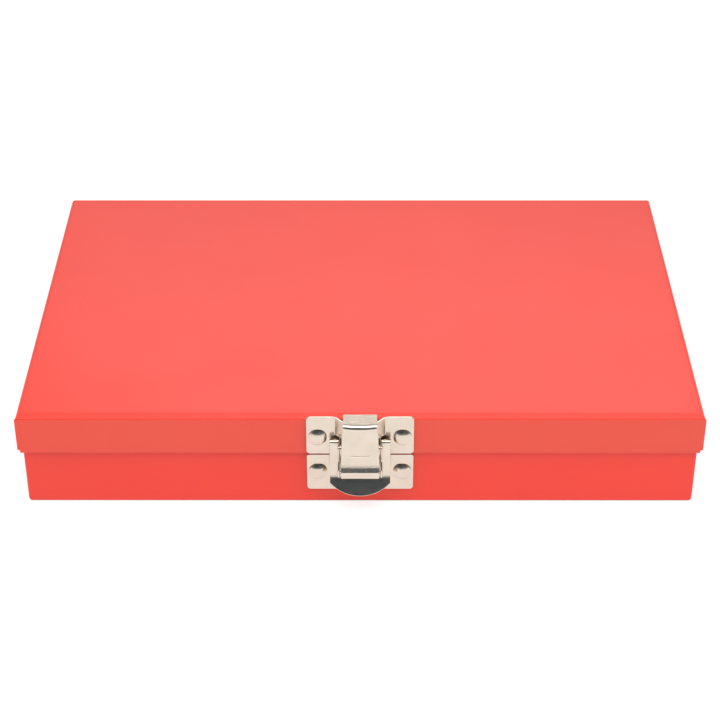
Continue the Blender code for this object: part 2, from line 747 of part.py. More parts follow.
lever_outline = lip_edge + rounded(
    [
        (LEVER_HALF, lever_top + 1 * MM, 0),
        (window_half, lever_top + 1 * MM, 0),
        (window_half, LEVER_FLARE_START + 0.6 * MM, 1.0 * MM),
        (-window_half, LEVER_FLARE_START + 0.6 * MM, 1.0 * MM),
        (-window_half, lever_top + 1 * MM, 0),
        (-LEVER_HALF, lever_top + 1 * MM, 0),
    ]
)
combine(
    latch_lever,
    front_prism("trim_lever", lever_outline, LID_FRONT - 14 * MM, LID_FRONT),
    "INTERSECT",
)
cheek_back = lever_y + PLATE_SHEET / 2 - 0.1 * MM
cheek_outline = rounded(
    [
        (cheek_back, lever_top - 0.2 * MM, 0),
        (LEVER_AXIS.y - 1.9 * MM, lever_top - 0.2 * MM, 1.5 * MM),
        (LEVER_AXIS.y - 1.9 * MM, LEVER_AXIS.z - 2.5 * MM, 1.5 * MM),
        (HASP_AXIS.y + 0.3 * MM, (LEVER_AXIS.z + HASP_AXIS.z) / 2, 1.5 * MM),
        (HASP_AXIS.y - 1.8 * MM, HASP_AXIS.z + 2.4 * MM, 1.5 * MM),
        (HASP_AXIS.y - 1.8 * MM, HASP_AXIS.z - 1.9 * MM, 1.5 * MM),
        (cheek_back, LEVER_FLARE_START + 0.9 * MM, 0),
    ]
)
for side, sign in SIDES:
    cheek = prism(
        f"add_cheek_{side}",
        cheek_outline,
        SIDE_VIEW,
        sign * (CHEEK_INSIDE + CHEEK_SHEET / 2),
        CHEEK_SHEET,
    )
    combine(latch_lever, cheek, "UNION")
for name, axis, diameter in (("lever", LEVER_AXIS, LEVER_PIN), ("hasp", HASP_AXIS, HASP_PIN)):
    combine(
        latch_lever,
        cylinder(f"cut_{name}_pin_holes", axis, (1, 0, 0), diameter / 2 + PIN_PLAY, 30 * MM, 20),
        "DIFFERENCE",
    )
plated(latch_lever, smooth=True)
plated(
    cylinder("hasp_pin", HASP_AXIS, (1, 0, 0), HASP_PIN / 2, 2 * PIN_HALF_LENGTH, 20),
    smooth=True,
)

# ---- Hasp: rolled around its pin at the bottom, bent back into a hook at the top ----
strap_y = LID_FRONT - HASP_PROUD
flange_z = KEEPER_TOP + GAP + HASP_SHEET / 2
roll_radius = HASP_PIN / 2 + PIN_PLAY + HASP_SHEET / 2
strap_line = rounded(
    [
        (LID_FRONT - HASP_SHEET / 2, flange_z - HASP_SHEET / 2 - HASP_LIP, 0),
        (LID_FRONT - HASP_SHEET / 2, flange_z, 0.47 * MM),
        (strap_y, flange_z, HASP_BEND),
        (strap_y, HASP_AXIS.z + 3.2 * MM, 1.2 * MM),
        (
            HASP_AXIS.y - roll_radius * math.cos(math.radians(25)) - 0.02 * MM,
            HASP_AXIS.z + roll_radius * math.sin(math.radians(25)) + 0.3 * MM,
            0,
        ),
    ],
    closed=False,
)
roll = arc(
    (HASP_AXIS.y, HASP_AXIS.z), roll_radius, math.radians(155), math.radians(415), math.radians(26)
)
latch_hasp = prism(
    "latch_hasp", band(strap_line + roll, HASP_SHEET), SIDE_VIEW, 0, HASP_ROLL_WIDTH
)
roll_top = HASP_AXIS.z + roll_radius + 1.6 * MM
right_edge = [
    (HASP_ROLL_WIDTH / 2, HASP_AXIS.z - 5 * MM),
    (HASP_ROLL_WIDTH / 2, roll_top),
    (HASP_WIDTH / 2, roll_top + 1.2 * MM),
    (HASP_WIDTH / 2, flange_z - 4.5 * MM),
    (HASP_TOP_WIDTH / 2, flange_z - 2.5 * MM),
    (HASP_TOP_WIDTH / 2, flange_z + 2 * MM),
]
hasp_outline = [Vector(p) for p in right_edge] + [Vector((-x, z)) for x, z in reversed(right_edge)]
combine(
    latch_hasp,
    front_prism("trim_hasp", hasp_outline, LID_FRONT - 14 * MM, LID_FRONT + 4 * MM),
    "INTERSECT",
)
plated(latch_hasp, smooth=True)

# ---- Tray ----
tray_pan = open_box(
    "tray_pan",
    (-TRAY_WIDTH / 2, -TRAY_DEPTH / 2, TRAY_BOTTOM),
    (TRAY_WIDTH / 2, TRAY_DEPTH / 2, TRAY_TOP),
    1,
    TRAY_SHEET,
    TRAY_BEND,
    TRAY_BEND,
)
# The finger notches are cut through both end walls at once, behind the long divider's end.
notch = rounded(
    [
        (-NOTCH_WIDTH / 2 - 4 * MM, TRAY_TOP + 6 * MM, 0),
        (-NOTCH_WIDTH / 2, TRAY_TOP, 0),
        (-NOTCH_WIDTH / 2 + NOTCH_CORNER / 2, TRAY_TOP - NOTCH_DEPTH, NOTCH_CORNER),
        (NOTCH_WIDTH / 2 - NOTCH_CORNER / 2, TRAY_TOP - NOTCH_DEPTH, NOTCH_CORNER),
        (NOTCH_WIDTH / 2, TRAY_TOP, 0),
        (NOTCH_WIDTH / 2 + 4 * MM, TRAY_TOP + 6 * MM, 0),
    ]
)
notch_y = (-TRAY_DEPTH / 2 + LONG_DIVIDER_Y) / 2
combine(
    tray_pan,
    prism(
        "cut_notches",
        [p + Vector((notch_y, 0)) for p in notch],
        SIDE_VIEW,
        0,
        TRAY_WIDTH + 10 * MM,
    ),
    "DIFFERENCE",
)
painted(tray_pan)


def divider_outline(length, foot, top):
    """A flat divider's outline. Its lower corners clear the tray's bends."""
    half = length / 2
    return rounded(
        [
            (-half, top, 1.5 * MM),
            (-half, foot + TRAY_BEND, 0),
            (-half + TRAY_BEND, foot, 0),
            (half - TRAY_BEND, foot, 0),
            (half, foot + TRAY_BEND, 0),
            (half, top, 1.5 * MM),
        ]
    )


foot = TRAY_BOTTOM + TRAY_SHEET + GAP
divider_top = TRAY_TOP - DIVIDER_DROP
tray_inside = TRAY_WIDTH - 2 * TRAY_SHEET - 2 * GAP
painted(
    front_prism(
        "tray_divider_long",
        divider_outline(tray_inside, foot, divider_top),
        LONG_DIVIDER_Y - TRAY_SHEET / 2,
        LONG_DIVIDER_Y + TRAY_SHEET / 2,
    )
)
front_inside = -TRAY_DEPTH / 2 + TRAY_SHEET + GAP
back_end = LONG_DIVIDER_Y - TRAY_SHEET / 2 - GAP
cross_middle = (front_inside + back_end) / 2
cross_outline = [
    p + Vector((cross_middle, 0)) for p in divider_outline(back_end - front_inside, foot, divider_top)
]
for number, place in ((1, -1), (2, 0), (3, 1)):
    painted(
        prism(
            f"tray_divider_cross_{number}",
            cross_outline,
            SIDE_VIEW,
            place * CROSS_SPACING,
            TRAY_SHEET,
        )
    )


# ---- Joints: an empty on each axis carries the pieces that move on it ----
def axis_empty(name, at):
    empty = bpy.data.objects.new(name, None)
    empty.location = at
    PARTS.objects.link(empty)
    return empty


def carried_by(empty, pieces):
    bpy.context.view_layer.update()
    for piece in pieces:
        piece.parent = empty
        piece.matrix_parent_inverse = empty.matrix_world.inverted()


def pieces_named(*starts):
    return [obj for obj in PARTS.objects if obj.type == "MESH" and obj.name.startswith(starts)]


lid_axis = axis_empty("lid_axis", HINGE_AXIS)
lever_axis = axis_empty("lever_axis", LEVER_AXIS)
hasp_axis = axis_empty("hasp_axis", HASP_AXIS)
tray_seat = axis_empty("tray_seat", (0, 0, TRAY_BOTTOM))
carried_by(
    lid_axis, pieces_named("lid_shell", "keeper_", "hinge_lid_leaf", "lid_leaf_rivet")
)
carried_by(lever_axis, pieces_named("latch_lever", "hasp_pin") + [hasp_axis])
carried_by(hasp_axis, pieces_named("latch_hasp"))
carried_by(tray_seat, pieces_named("tray_pan", "tray_divider"))
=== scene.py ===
# %% [markdown]
# # A flat tool case with a toggle latch
#
# The case is two pressed pans of red powder-coated sheet steel, a lid over a base, with a
# nickel-plated latch in the middle of the front and two hinges at the back. Inside lies a tray.
#
# The engineering model is loaded first, as a frame that never moves. Every piece made below takes
# its size and place from that frame, so it fits without any nudging.

# %% Load the frame
import math

import bmesh
import bpy
from mathutils import Matrix, Vector


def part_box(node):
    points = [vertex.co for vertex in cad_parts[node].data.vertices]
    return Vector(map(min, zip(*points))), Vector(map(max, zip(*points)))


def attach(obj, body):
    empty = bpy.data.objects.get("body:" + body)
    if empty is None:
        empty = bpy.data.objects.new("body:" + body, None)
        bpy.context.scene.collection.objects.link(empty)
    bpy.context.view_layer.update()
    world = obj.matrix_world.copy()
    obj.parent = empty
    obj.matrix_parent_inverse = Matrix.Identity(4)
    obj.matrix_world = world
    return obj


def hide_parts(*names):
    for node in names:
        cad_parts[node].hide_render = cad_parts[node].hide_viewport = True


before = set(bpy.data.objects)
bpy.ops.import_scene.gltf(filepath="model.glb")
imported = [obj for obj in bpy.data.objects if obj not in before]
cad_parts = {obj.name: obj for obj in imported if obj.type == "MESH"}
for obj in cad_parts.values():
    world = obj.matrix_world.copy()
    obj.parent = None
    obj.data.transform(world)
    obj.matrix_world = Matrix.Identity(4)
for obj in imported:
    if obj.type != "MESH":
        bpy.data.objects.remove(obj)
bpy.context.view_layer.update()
MM = 0.001

# %% [markdown]
# ## Helpers for working by hand
#
# Each piece starts from a primitive and is then shaped in edit mode, as with mouse and keyboard.
# An operator acts on whatever is selected, so everything is deselected before a primitive is
# added, and faces or edges are picked by their place. Writing a raw list of faces would also work,
# but it says nothing about how the sheet was bent.


# %% Helpers: primitives, picking and modifiers
def named(name):
    piece = bpy.context.object
    piece.name = piece.data.name = name
    return piece


def take(piece):
    """Make one piece the only selected object and the active one."""
    bpy.ops.object.select_all(action="DESELECT")
    piece.select_set(True)
    bpy.context.view_layer.objects.active = piece


def set_down(piece, matrix):
    """Move and turn a piece, and keep its new place in its mesh."""
    take(piece)
    piece.matrix_world = matrix
    bpy.ops.object.transform_apply(location=True, rotation=True, scale=True)


def cube_between(name, low, high):
    """A cube with those two opposite corners, its place held in its mesh."""
    bpy.ops.object.select_all(action="DESELECT")
    low, high = Vector(low), Vector(high)
    bpy.ops.mesh.primitive_cube_add(size=1, location=(low + high) / 2)
    piece = named(name)
    piece.scale = high - low
    bpy.ops.object.transform_apply(location=True, rotation=True, scale=True)
    return piece


def pick(piece, kind, test):
    """Go into edit mode with only the vertices, edges or faces selected that pass the test."""
    take(piece)
    bpy.ops.object.mode_set(mode="EDIT")
    bpy.ops.mesh.select_mode(type=kind)
    bpy.ops.mesh.select_all(action="DESELECT")
    shape = bmesh.from_edit_mesh(piece.data)
    parts = {"VERT": shape.verts, "EDGE": shape.edges, "FACE": shape.faces}[kind]
    for part in parts:
        if test(part):
            part.select_set(True)
    bmesh.update_edit_mesh(piece.data)


def leave_edit():
    bpy.ops.object.mode_set(mode="OBJECT")


def apply_modifier(piece, kind, **settings):
    modifier = piece.modifiers.new(kind.title(), kind)
    for name, value in settings.items():
        setattr(modifier, name, value)
    take(piece)
    bpy.ops.object.modifier_apply(modifier=modifier.name)


def carve(piece, tool, operation="DIFFERENCE"):
    """Cut a tool shape out of a piece, add it or keep only what they share, and drop the tool."""
    apply_modifier(piece, "BOOLEAN", operation=operation, solver="EXACT", object=tool)
    bpy.data.objects.remove(tool, do_unlink=True)


def soften(piece, width, segments=2, angle=32):
    """Round every sharp edge a little, as rolling, pressing and coating leave it."""
    pick(piece, "VERT", lambda v: True)
    bpy.ops.mesh.remove_doubles(threshold=0.004 * MM)
    leave_edit()
    apply_modifier(
        piece,
        "BEVEL",
        width=width,
        segments=segments,
        limit_method="ANGLE",
        angle_limit=math.radians(angle),
        use_clamp_overlap=False,
    )


def shade(piece, angle=40):
    take(piece)
    bpy.ops.object.shade_smooth_by_angle(angle=math.radians(angle))
    apply_modifier(piece, "WEIGHTED_NORMAL", keep_sharp=True)


def show(piece, material, body, slot, *nodes):
    """Give a finished piece its material and its body, and let it stand for its frame nodes."""
    piece.data.materials.clear()
    piece.data.materials.append(material)
    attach(piece, body)
    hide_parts(*nodes)
    print(f"{piece.name}: {len(piece.data.polygons)} faces on {body}")


# %% [markdown]
# ## Bent sheet
#
# Most of the metalwork is flat strip folded in one direction. A smith bends it along a line of
# straight runs and round corners. The same can be done here: an edge as wide as the strip is
# extruded from point to point along that line, then Solidify gives the sheet its thickness. The
# line itself is a list of corners, each with its own bend radius.


# %% Helpers: bend lines and strips
def bent(corners, closed=False, step=6):
    """Points along a line of (across, up, radius) corners, with arcs of small steps in degrees."""
    line = []
    for i, (u, v, radius) in enumerate(corners):
        here = Vector((u, v))
        if radius <= 0 or (not closed and i in (0, len(corners) - 1)):
            line.append(here)
            continue
        back = (Vector(corners[i - 1][:2]) - here).normalized()
        ahead = (Vector(corners[(i + 1) % len(corners)][:2]) - here).normalized()
        half = back.angle(ahead) / 2
        centre = here + (back + ahead).normalized() * (radius / math.sin(half))
        first = here + back * (radius / math.tan(half)) - centre
        last = here + ahead * (radius / math.tan(half)) - centre
        sweep = math.copysign(math.pi - 2 * half, first.cross(last))
        count = max(2, math.ceil(abs(math.degrees(sweep)) / step))
        for k in range(count + 1):
            line.append(centre + Matrix.Rotation(sweep * k / count, 2) @ first)
    return line


def arc(centre, radius, first, last, step=8):
    count = max(2, math.ceil(abs(last - first) / step))
    angles = [math.radians(first + (last - first) * k / count) for k in range(count + 1)]
    return [Vector(centre) + radius * Vector((math.cos(a), math.sin(a))) for a in angles]


def strip(name, line, width, middle=0.0):
    """An open strip: an edge along X, extruded through the line's (y, z) points."""
    bpy.ops.object.select_all(action="DESELECT")
    y, z = line[0]
    bpy.ops.mesh.primitive_plane_add(size=width, location=(middle, y + width / 2, z))
    piece = named(name)
    bpy.ops.object.transform_apply(location=True, rotation=True, scale=True)
    pick(piece, "VERT", lambda v: v.co.y > y + width / 2)
    bpy.ops.mesh.delete(type="VERT")
    bpy.ops.mesh.select_mode(type="EDGE")
    bpy.ops.mesh.select_all(action="SELECT")
    for a, b in zip(line, line[1:]):
        move = (0, b.x - a.x, b.y - a.y)
        bpy.ops.mesh.extrude_region_move(TRANSFORM_OT_translate={"value": move})
    leave_edit()
    return piece


def cut_across(piece, place, normal):
    """Slice the whole mesh along a plane, so that faces can be picked on either side of it."""
    pick(piece, "FACE", lambda f: True)
    bpy.ops.mesh.bisect(plane_co=place, plane_no=normal)
    leave_edit()


def remove_faces(piece, test):
    pick(piece, "FACE", test)
    bpy.ops.mesh.delete(type="FACE")
    leave_edit()


def thicken(piece, thickness, offset=0.0):
    apply_modifier(
        piece, "SOLIDIFY", thickness=thickness, offset=offset, use_even_offset=True
    )


def face_out(piece):
    """Point all faces of a closed piece outward."""
    pick(piece, "FACE", lambda f: True)
    bpy.ops.mesh.normals_make_consistent(inside=False)
    leave_edit()


def flat_cutout(name, outline, thickness, x_middle):
    """A flat cut-out in the side view, from a filled outline of (y, z) points made into a mesh."""
    curve = bpy.data.curves.new(name, "CURVE")
    curve.dimensions, curve.fill_mode, curve.extrude = "2D", "BOTH", thickness / 2
    spline = curve.splines.new("POLY")
    spline.points.add(len(outline) - 1)
    for spot, point in zip(spline.points, outline):
        spot.co = (point.x, point.y, 0, 1)
    spline.use_cyclic_u = True
    piece = bpy.data.objects.new(name, curve)
    bpy.context.scene.collection.objects.link(piece)
    take(piece)
    bpy.ops.object.convert(target="MESH")
    piece = named(name)
    side_view = Matrix(((0, 0, 1), (1, 0, 0), (0, 1, 0))).to_4x4()
    set_down(piece, Matrix.Translation((x_middle, 0, 0)) @ side_view)
    pick(piece, "FACE", lambda f: True)
    bpy.ops.mesh.remove_doubles(threshold=1e-6)
    bpy.ops.mesh.normals_make_consistent(inside=False)
    leave_edit()
    return piece


def join(piece, *others):
    """Weld pieces of one part into one mesh."""
    for other in others:
        carve(piece, other, "UNION")


# %% [markdown]
# ## Camera
#
# The case is seen from in front and a good way above, with a long lens so that its sides close in
# only a little. The camera's place and turn are set directly.

# %% Camera
CAMERA_PLACE = (0.0015, -0.7216, 0.4877)
LOOK_DOWN, PAN, ROLL = (math.radians(angle) for angle in (33.45, 0.137, -0.063))
LENS = 95.255  # mm, on the usual 36 mm wide sensor
bpy.ops.object.select_all(action="DESELECT")
bpy.ops.object.camera_add(location=CAMERA_PLACE)
camera = bpy.context.object
camera.name = camera.data.name = "case_camera"
look_down = Matrix.Rotation(math.pi / 2 - LOOK_DOWN, 3, "X")
pan = Matrix.Rotation(PAN, 3, "Z")
roll = Matrix.Rotation(ROLL, 3, "Z")
camera.rotation_euler = (pan @ look_down @ roll).to_euler()
camera.data.lens = LENS
camera.data.clip_start, camera.data.clip_end = 0.01, 50
bpy.context.scene.camera = camera
print("lens, mm:", round(camera.data.lens, 2))

# %% [markdown]
# ## Floor and light
#
# Polished metal is mostly a picture of the room. A bright floor in front makes upright plates
# look creamy, a dark room behind the camera draws the dark bands on faces that lean back, and a
# pale wall behind the case greys the faces that look up. So the floor glows softly like a light
# table, and the sky is a gradient that is dark, cool and a little uneven toward the camera. A wide
# soft lamp hangs overhead, one behind the case gives the lid its veil, and two fill the sides.

# %% Floor
bpy.ops.object.select_all(action="DESELECT")
bpy.ops.mesh.primitive_plane_add(size=24, location=(0, 0, -0.0002))
floor = named("pale_floor")
floor_paint = bpy.data.materials.new("pale_floor_paint")
floor_paint.use_nodes = True
floor_surface = floor_paint.node_tree.nodes["Principled BSDF"]
floor_surface.inputs["Base Color"].default_value = (0.42, 0.42, 0.42, 1)
floor_surface.inputs["Roughness"].default_value = 0.9
floor_surface.inputs["Specular IOR Level"].default_value = 0.1
floor_surface.inputs["Emission Color"].default_value = (1, 1, 1, 1)
floor_surface.inputs["Emission Strength"].default_value = 0.74
floor.data.materials.append(floor_paint)

# %% Sky: dark toward the camera, pale behind the case
world = bpy.data.worlds.new("studio")
bpy.context.scene.world = world
world.use_nodes = True
sky = world.node_tree
background = sky.nodes["Background"]


def sky_math(operation, *values):
    node = sky.nodes.new("ShaderNodeMath")
    node.operation = operation
    for socket, value in zip(node.inputs, values):
        if isinstance(value, (int, float)):
            socket.default_value = value
        else:
            sky.links.new(value, socket)
    return node.outputs["Value"]


direction = sky.nodes.new("ShaderNodeSeparateXYZ")
sky.links.new(sky.nodes.new("ShaderNodeTexCoord").outputs["Generated"], direction.inputs[0])
sideways = sky_math("ABSOLUTE", direction.outputs["X"])
toward_camera = sky_math("SUBTRACT", sky_math("MULTIPLY", direction.outputs["Y"], -1.0), sideways)
dark_lobe = sky.nodes.new("ShaderNodeMapRange")
dark_lobe.interpolation_type = "SMOOTHSTEP"
dark_lobe.inputs["From Min"].default_value = -0.25
dark_lobe.inputs["From Max"].default_value = 0.12
dark_lobe.inputs["To Min"].default_value = 0.58
dark_lobe.inputs["To Max"].default_value = 0.0
sky.links.new(toward_camera, dark_lobe.inputs["Value"])
# The dark side is never quite empty: dim shapes in it give the plate something to mirror.
clutter = sky.nodes.new("ShaderNodeTexNoise")
clutter.inputs["Scale"].default_value = 6.0
clutter.inputs["Detail"].default_value = 2.0
room = sky_math("POWER", clutter.outputs["Fac"], 3.0)
dim_room = sky_math("MULTIPLY", room, 0.72)
strength = sky_math("ADD", dark_lobe.outputs["Result"], dim_room)
sky.links.new(strength, background.inputs["Strength"])
tint = sky.nodes.new("ShaderNodeMix")
tint.data_type = "RGBA"
tint.inputs["A"].default_value = (0.78, 1.0, 1.22, 1)
tint.inputs["B"].default_value = (1.0, 0.99, 0.975, 1)
sky.links.new(sky_math("MULTIPLY", dark_lobe.outputs["Result"], 5.0), tint.inputs["Factor"])
sky.links.new(tint.outputs["Result"], background.inputs["Color"])


# %% Lamps
def soft_lamp(name, place, target, size, watts, colour=(1, 0.99, 0.97)):
    bpy.ops.object.light_add(type="AREA", location=place)
    lamp = bpy.context.object
    lamp.name = lamp.data.name = name
    lamp.data.shape = "RECTANGLE"
    lamp.data.size, lamp.data.size_y = size
    lamp.data.energy = watts
    lamp.data.color = colour
    aim = Vector(target) - Vector(place)
    lamp.rotation_euler = aim.to_track_quat("-Z", "Y").to_euler()
    return lamp


soft_lamp("overhead", (0, -0.3, 0.52), (0, -0.05, 0), (0.8, 0.3), 2.55)
soft_lamp("back_key", (0.08, 1.72, 1.28), (0, 0, 0), (1.2, 0.42), 3.2)
soft_lamp("left_fill", (-1.7, -0.9, 0.9), (0, -0.1, 0), (1.2, 1.2), 4.5)
soft_lamp("right_fill", (1.7, -0.9, 0.9), (0, -0.1, 0), (1.2, 1.2), 6.5)
view = bpy.context.scene.view_settings
view.view_transform = "Standard"
view.look = "None"

# %% [markdown]
# ## Finishes
#
# Two finishes cover the whole object. Powder coat is a smooth satin plastic skin with the fine
# ripple that painters call orange peel. Plated steel shows faint clouding and the fine lines of
# the rolled sheet beneath. Both need the same two effects, a soft cloud and a fine grain, so each
# effect is one node group with its own inputs, and each material sets its own values. The groups
# read the piece's own coordinates in metres, so the grain has its true size on every piece.


# %% Node groups: cloud and grain
def new_group(name, inputs, outputs):
    group = bpy.data.node_groups.new(name, "ShaderNodeTree")
    for socket, kind, value in inputs:
        made = group.interface.new_socket(socket, in_out="INPUT", socket_type=kind)
        if value is not None:
            made.default_value = value
    for socket, kind in outputs:
        group.interface.new_socket(socket, in_out="OUTPUT", socket_type=kind)
    return group, group.nodes.new("NodeGroupInput"), group.nodes.new("NodeGroupOutput")


FLOAT, VECTOR = "NodeSocketFloat", "NodeSocketVector"
soft_cloud, given, result = new_group(
    "soft_cloud",
    [("Vector", VECTOR, None), ("Size", FLOAT, 0.05), ("Low", FLOAT, 0.0), ("High", FLOAT, 1.0)],
    [("Value", FLOAT)],
)
per_metre = soft_cloud.nodes.new("ShaderNodeMath")
per_metre.operation = "DIVIDE"
per_metre.inputs[0].default_value = 1.0
noise = soft_cloud.nodes.new("ShaderNodeTexNoise")
noise.inputs["Detail"].default_value = 3.0
noise.inputs["Roughness"].default_value = 0.55
spread = soft_cloud.nodes.new("ShaderNodeMapRange")
spread.inputs["From Min"].default_value = 0.2
spread.inputs["From Max"].default_value = 0.8
for start, end in (
    (given.outputs["Size"], per_metre.inputs[1]),
    (given.outputs["Vector"], noise.inputs["Vector"]),
    (per_metre.outputs[0], noise.inputs["Scale"]),
    (noise.outputs["Fac"], spread.inputs["Value"]),
    (given.outputs["Low"], spread.inputs["To Min"]),
    (given.outputs["High"], spread.inputs["To Max"]),
    (spread.outputs["Result"], result.inputs["Value"]),
):
    soft_cloud.links.new(start, end)

fine_grain, given, result = new_group(
    "fine_grain",
    [("Vector", VECTOR, None), ("Size", FLOAT, 0.001), ("Stretch", VECTOR, (1, 1, 1))],
    [("Height", FLOAT)],
)
per_metre = fine_grain.nodes.new("ShaderNodeMath")
per_metre.operation = "DIVIDE"
per_metre.inputs[0].default_value = 1.0
stretched = fine_grain.nodes.new("ShaderNodeVectorMath")
stretched.operation = "MULTIPLY"
noise = fine_grain.nodes.new("ShaderNodeTexNoise")
noise.inputs["Detail"].default_value = 2.0
for start, end in (
    (given.outputs["Size"], per_metre.inputs[1]),
    (given.outputs["Vector"], stretched.inputs[0]),
    (given.outputs["Stretch"], stretched.inputs[1]),
    (stretched.outputs["Vector"], noise.inputs["Vector"]),
    (per_metre.outputs[0], noise.inputs["Scale"]),
    (noise.outputs["Fac"], result.inputs["Height"]),
):
    fine_grain.links.new(start, end)
print("groups:", soft_cloud.name, fine_grain.name)


# %% Materials: helpers
def new_material(name, **constants):
    material = bpy.data.materials.new(name)
    material.use_nodes = True
    tree = material.node_tree
    surface = tree.nodes["Principled BSDF"]
    for socket, value in constants.items():
        surface.inputs[socket.replace("_", " ")].default_value = value
    coordinates = tree.nodes.new("ShaderNodeTexCoord").outputs["Object"]
    return material, tree, surface, coordinates


def place_group(tree, group, coordinates, **values):
    node = tree.nodes.new("ShaderNodeGroup")
    node.node_tree = group
    tree.links.new(coordinates, node.inputs["Vector"])
    for socket, value in values.items():
        node.inputs[socket].default_value = value
    return node.outputs[0]


def two_tone(tree, mask, first, second):
    mix = tree.nodes.new("ShaderNodeMix")
    mix.data_type = "RGBA"
    tree.links.new(mask, mix.inputs["Factor"])
    mix.inputs["A"].default_value = (*first, 1)
    mix.inputs["B"].default_value = (*second, 1)
    return mix.outputs["Result"]


def bump(tree, height, strength, depth, under=None):
    node = tree.nodes.new("ShaderNodeBump")
    node.inputs["Strength"].default_value = strength
    node.inputs["Distance"].default_value = depth
    tree.links.new(height, node.inputs["Height"])
    if under is not None:
        tree.links.new(under, node.inputs["Normal"])
    return node.outputs["Normal"]


# %% Red powder coat
def masked_step(tree, value, start, end):
    """A smooth step from 0 to 1 as the value goes from start to end."""
    step = tree.nodes.new("ShaderNodeMapRange")
    step.interpolation_type = "SMOOTHSTEP"
    step.inputs["From Min"].default_value = start
    step.inputs["From Max"].default_value = end
    tree.links.new(value, step.inputs["Value"])
    return step.outputs["Result"]


def multiply(tree, first, second):
    node = tree.nodes.new("ShaderNodeMath")
    node.operation = "MULTIPLY"
    tree.links.new(first, node.inputs[0])
    tree.links.new(second, node.inputs[1])
    return node.outputs["Value"]


def powder_coat(name, axis, start, end, masked_colour):
    """Satin red with a second colour where the coordinate on one axis goes from start to end."""
    material, tree, surface, where = new_material(name, Metallic=0.0, IOR=1.5)
    cloud = place_group(tree, soft_cloud, where, Size=0.09, Low=0.0, High=1.0)
    red = two_tone(tree, cloud, (0.82, 0.033, 0.015), (0.88, 0.039, 0.018))
    split = tree.nodes.new("ShaderNodeSeparateXYZ")
    tree.links.new(where, split.inputs[0])
    mask = masked_step(tree, split.outputs[axis], start, end)
    patches = place_group(tree, soft_cloud, where, Size=0.11, Low=0.55, High=1.0)
    mix = tree.nodes.new("ShaderNodeMix")
    mix.data_type = "RGBA"
    tree.links.new(multiply(tree, mask, patches), mix.inputs["Factor"])
    tree.links.new(red, mix.inputs["A"])
    mix.inputs["B"].default_value = (*masked_colour, 1)
    tree.links.new(mix.outputs["Result"], surface.inputs["Base Color"])
    sheen = place_group(tree, soft_cloud, where, Size=0.03, Low=0.285, High=0.34)
    tree.links.new(sheen, surface.inputs["Roughness"])
    ripple = place_group(tree, fine_grain, where, Size=0.0022, Stretch=(1, 1, 1))
    dimple = place_group(tree, fine_grain, where, Size=0.0006, Stretch=(1, 1, 1))
    skin = bump(tree, ripple, 0.10, 0.00005)
    tree.links.new(bump(tree, dimple, 0.05, 0.00002, skin), surface.inputs["Normal"])
    return material


# %% [markdown]
# The lid's front skirt is painted a little greyer than its top, a painted veil of reflection and
# shade for how the light falls on that face. The base's lower edge is painted dark brown, a painted
# contact shadow where it meets the floor. The tray's coat turns a little darker toward its bottom.

# %% The three coats
# The front skirt's second colour is a painted veil of reflection and shade, greyer and less red.
lid_coat = powder_coat("lid_coat", "Y", -0.09192, -0.09199, (0.76, 0.068, 0.036))
# The dark brown along the lowest 0.4 mm is a painted contact shadow where the base meets the floor.
base_coat = powder_coat("base_coat", "Z", 0.00078, 0.0004, (0.10, 0.045, 0.035))
# The tray's coat darkens a little below about 21 mm, toward its bottom.
tray_coat = powder_coat("tray_coat", "Z", 0.0225, 0.0205, (0.74, 0.04, 0.02))

# %% Nickel plate
nickel, tree, surface, where = new_material("nickel_plate", Metallic=1.0)
cloud = place_group(tree, soft_cloud, where, Size=0.006, Low=0.0, High=1.0)
warm = two_tone(tree, cloud, (0.635, 0.545, 0.455), (0.70, 0.615, 0.525))
tree.links.new(warm, surface.inputs["Base Color"])
mottle = place_group(tree, soft_cloud, where, Size=0.0016, Low=0.16, High=0.26)
tree.links.new(mottle, surface.inputs["Roughness"])
rolling = place_group(tree, fine_grain, where, Size=0.0004, Stretch=(1.0, 0.12, 0.12))
blotch = place_group(tree, fine_grain, where, Size=0.0009, Stretch=(1, 1, 1))
skin = bump(tree, blotch, 0.6, 0.00005)
tree.links.new(bump(tree, rolling, 0.10, 0.00001, skin), surface.inputs["Normal"])
print("materials:", ", ".join(m.name for m in (lid_coat, base_coat, tray_coat, nickel)))

# %% [markdown]
# ## Lid and base
#
# Each pan is drawn from one sheet. A box with one face missing has the right shape, its bends
# are rounded with Bevel, and Solidify adds the sheet inward, so the outside keeps its size. A
# subdivision surface could round the edges too, but a bevel keeps the flat panels truly flat.


# %% Pressed pans
def round_rim(piece, rim_z, width):
    """Round both edges of the sheet along a pan's open rim."""
    pick(piece, "FACE", lambda f: all(abs(v.co.z - rim_z) < 0.01 * MM for v in f.verts))
    bpy.ops.mesh.region_to_loop()
    bpy.ops.mesh.bevel(offset=width, segments=4, affect="EDGES", clamp_overlap=False)
    leave_edit()


def pressed_pan(name, low, high, open_up, corner, front, back, sides):
    """A pan with its own bend radius along each side, open at the top if open_up, or else below."""
    piece = cube_between(name, low, high)
    way = 1 if open_up else -1
    remove_faces(piece, lambda f: f.normal.z * way > 0.5)
    closed_z = low[2] if open_up else high[2]
    largest = max(corner, front, back, sides)

    def lies_along(edge, axis, place):
        return all(abs(v.co[axis] - place) < 0.01 * MM for v in edge.verts)

    def bend_of(edge):
        if not lies_along(edge, 2, closed_z):
            return corner
        if lies_along(edge, 1, low[1]):
            return front
        return back if lies_along(edge, 1, high[1]) else sides

    for radius in {corner, front, back, sides}:
        pick(piece, "EDGE", lambda e: not e.is_boundary and bend_of(e) == radius)
        bpy.ops.transform.edge_bevelweight(value=radius / largest)
        leave_edit()
    apply_modifier(piece, "BEVEL", width=largest, segments=8, limit_method="WEIGHT")
    return piece


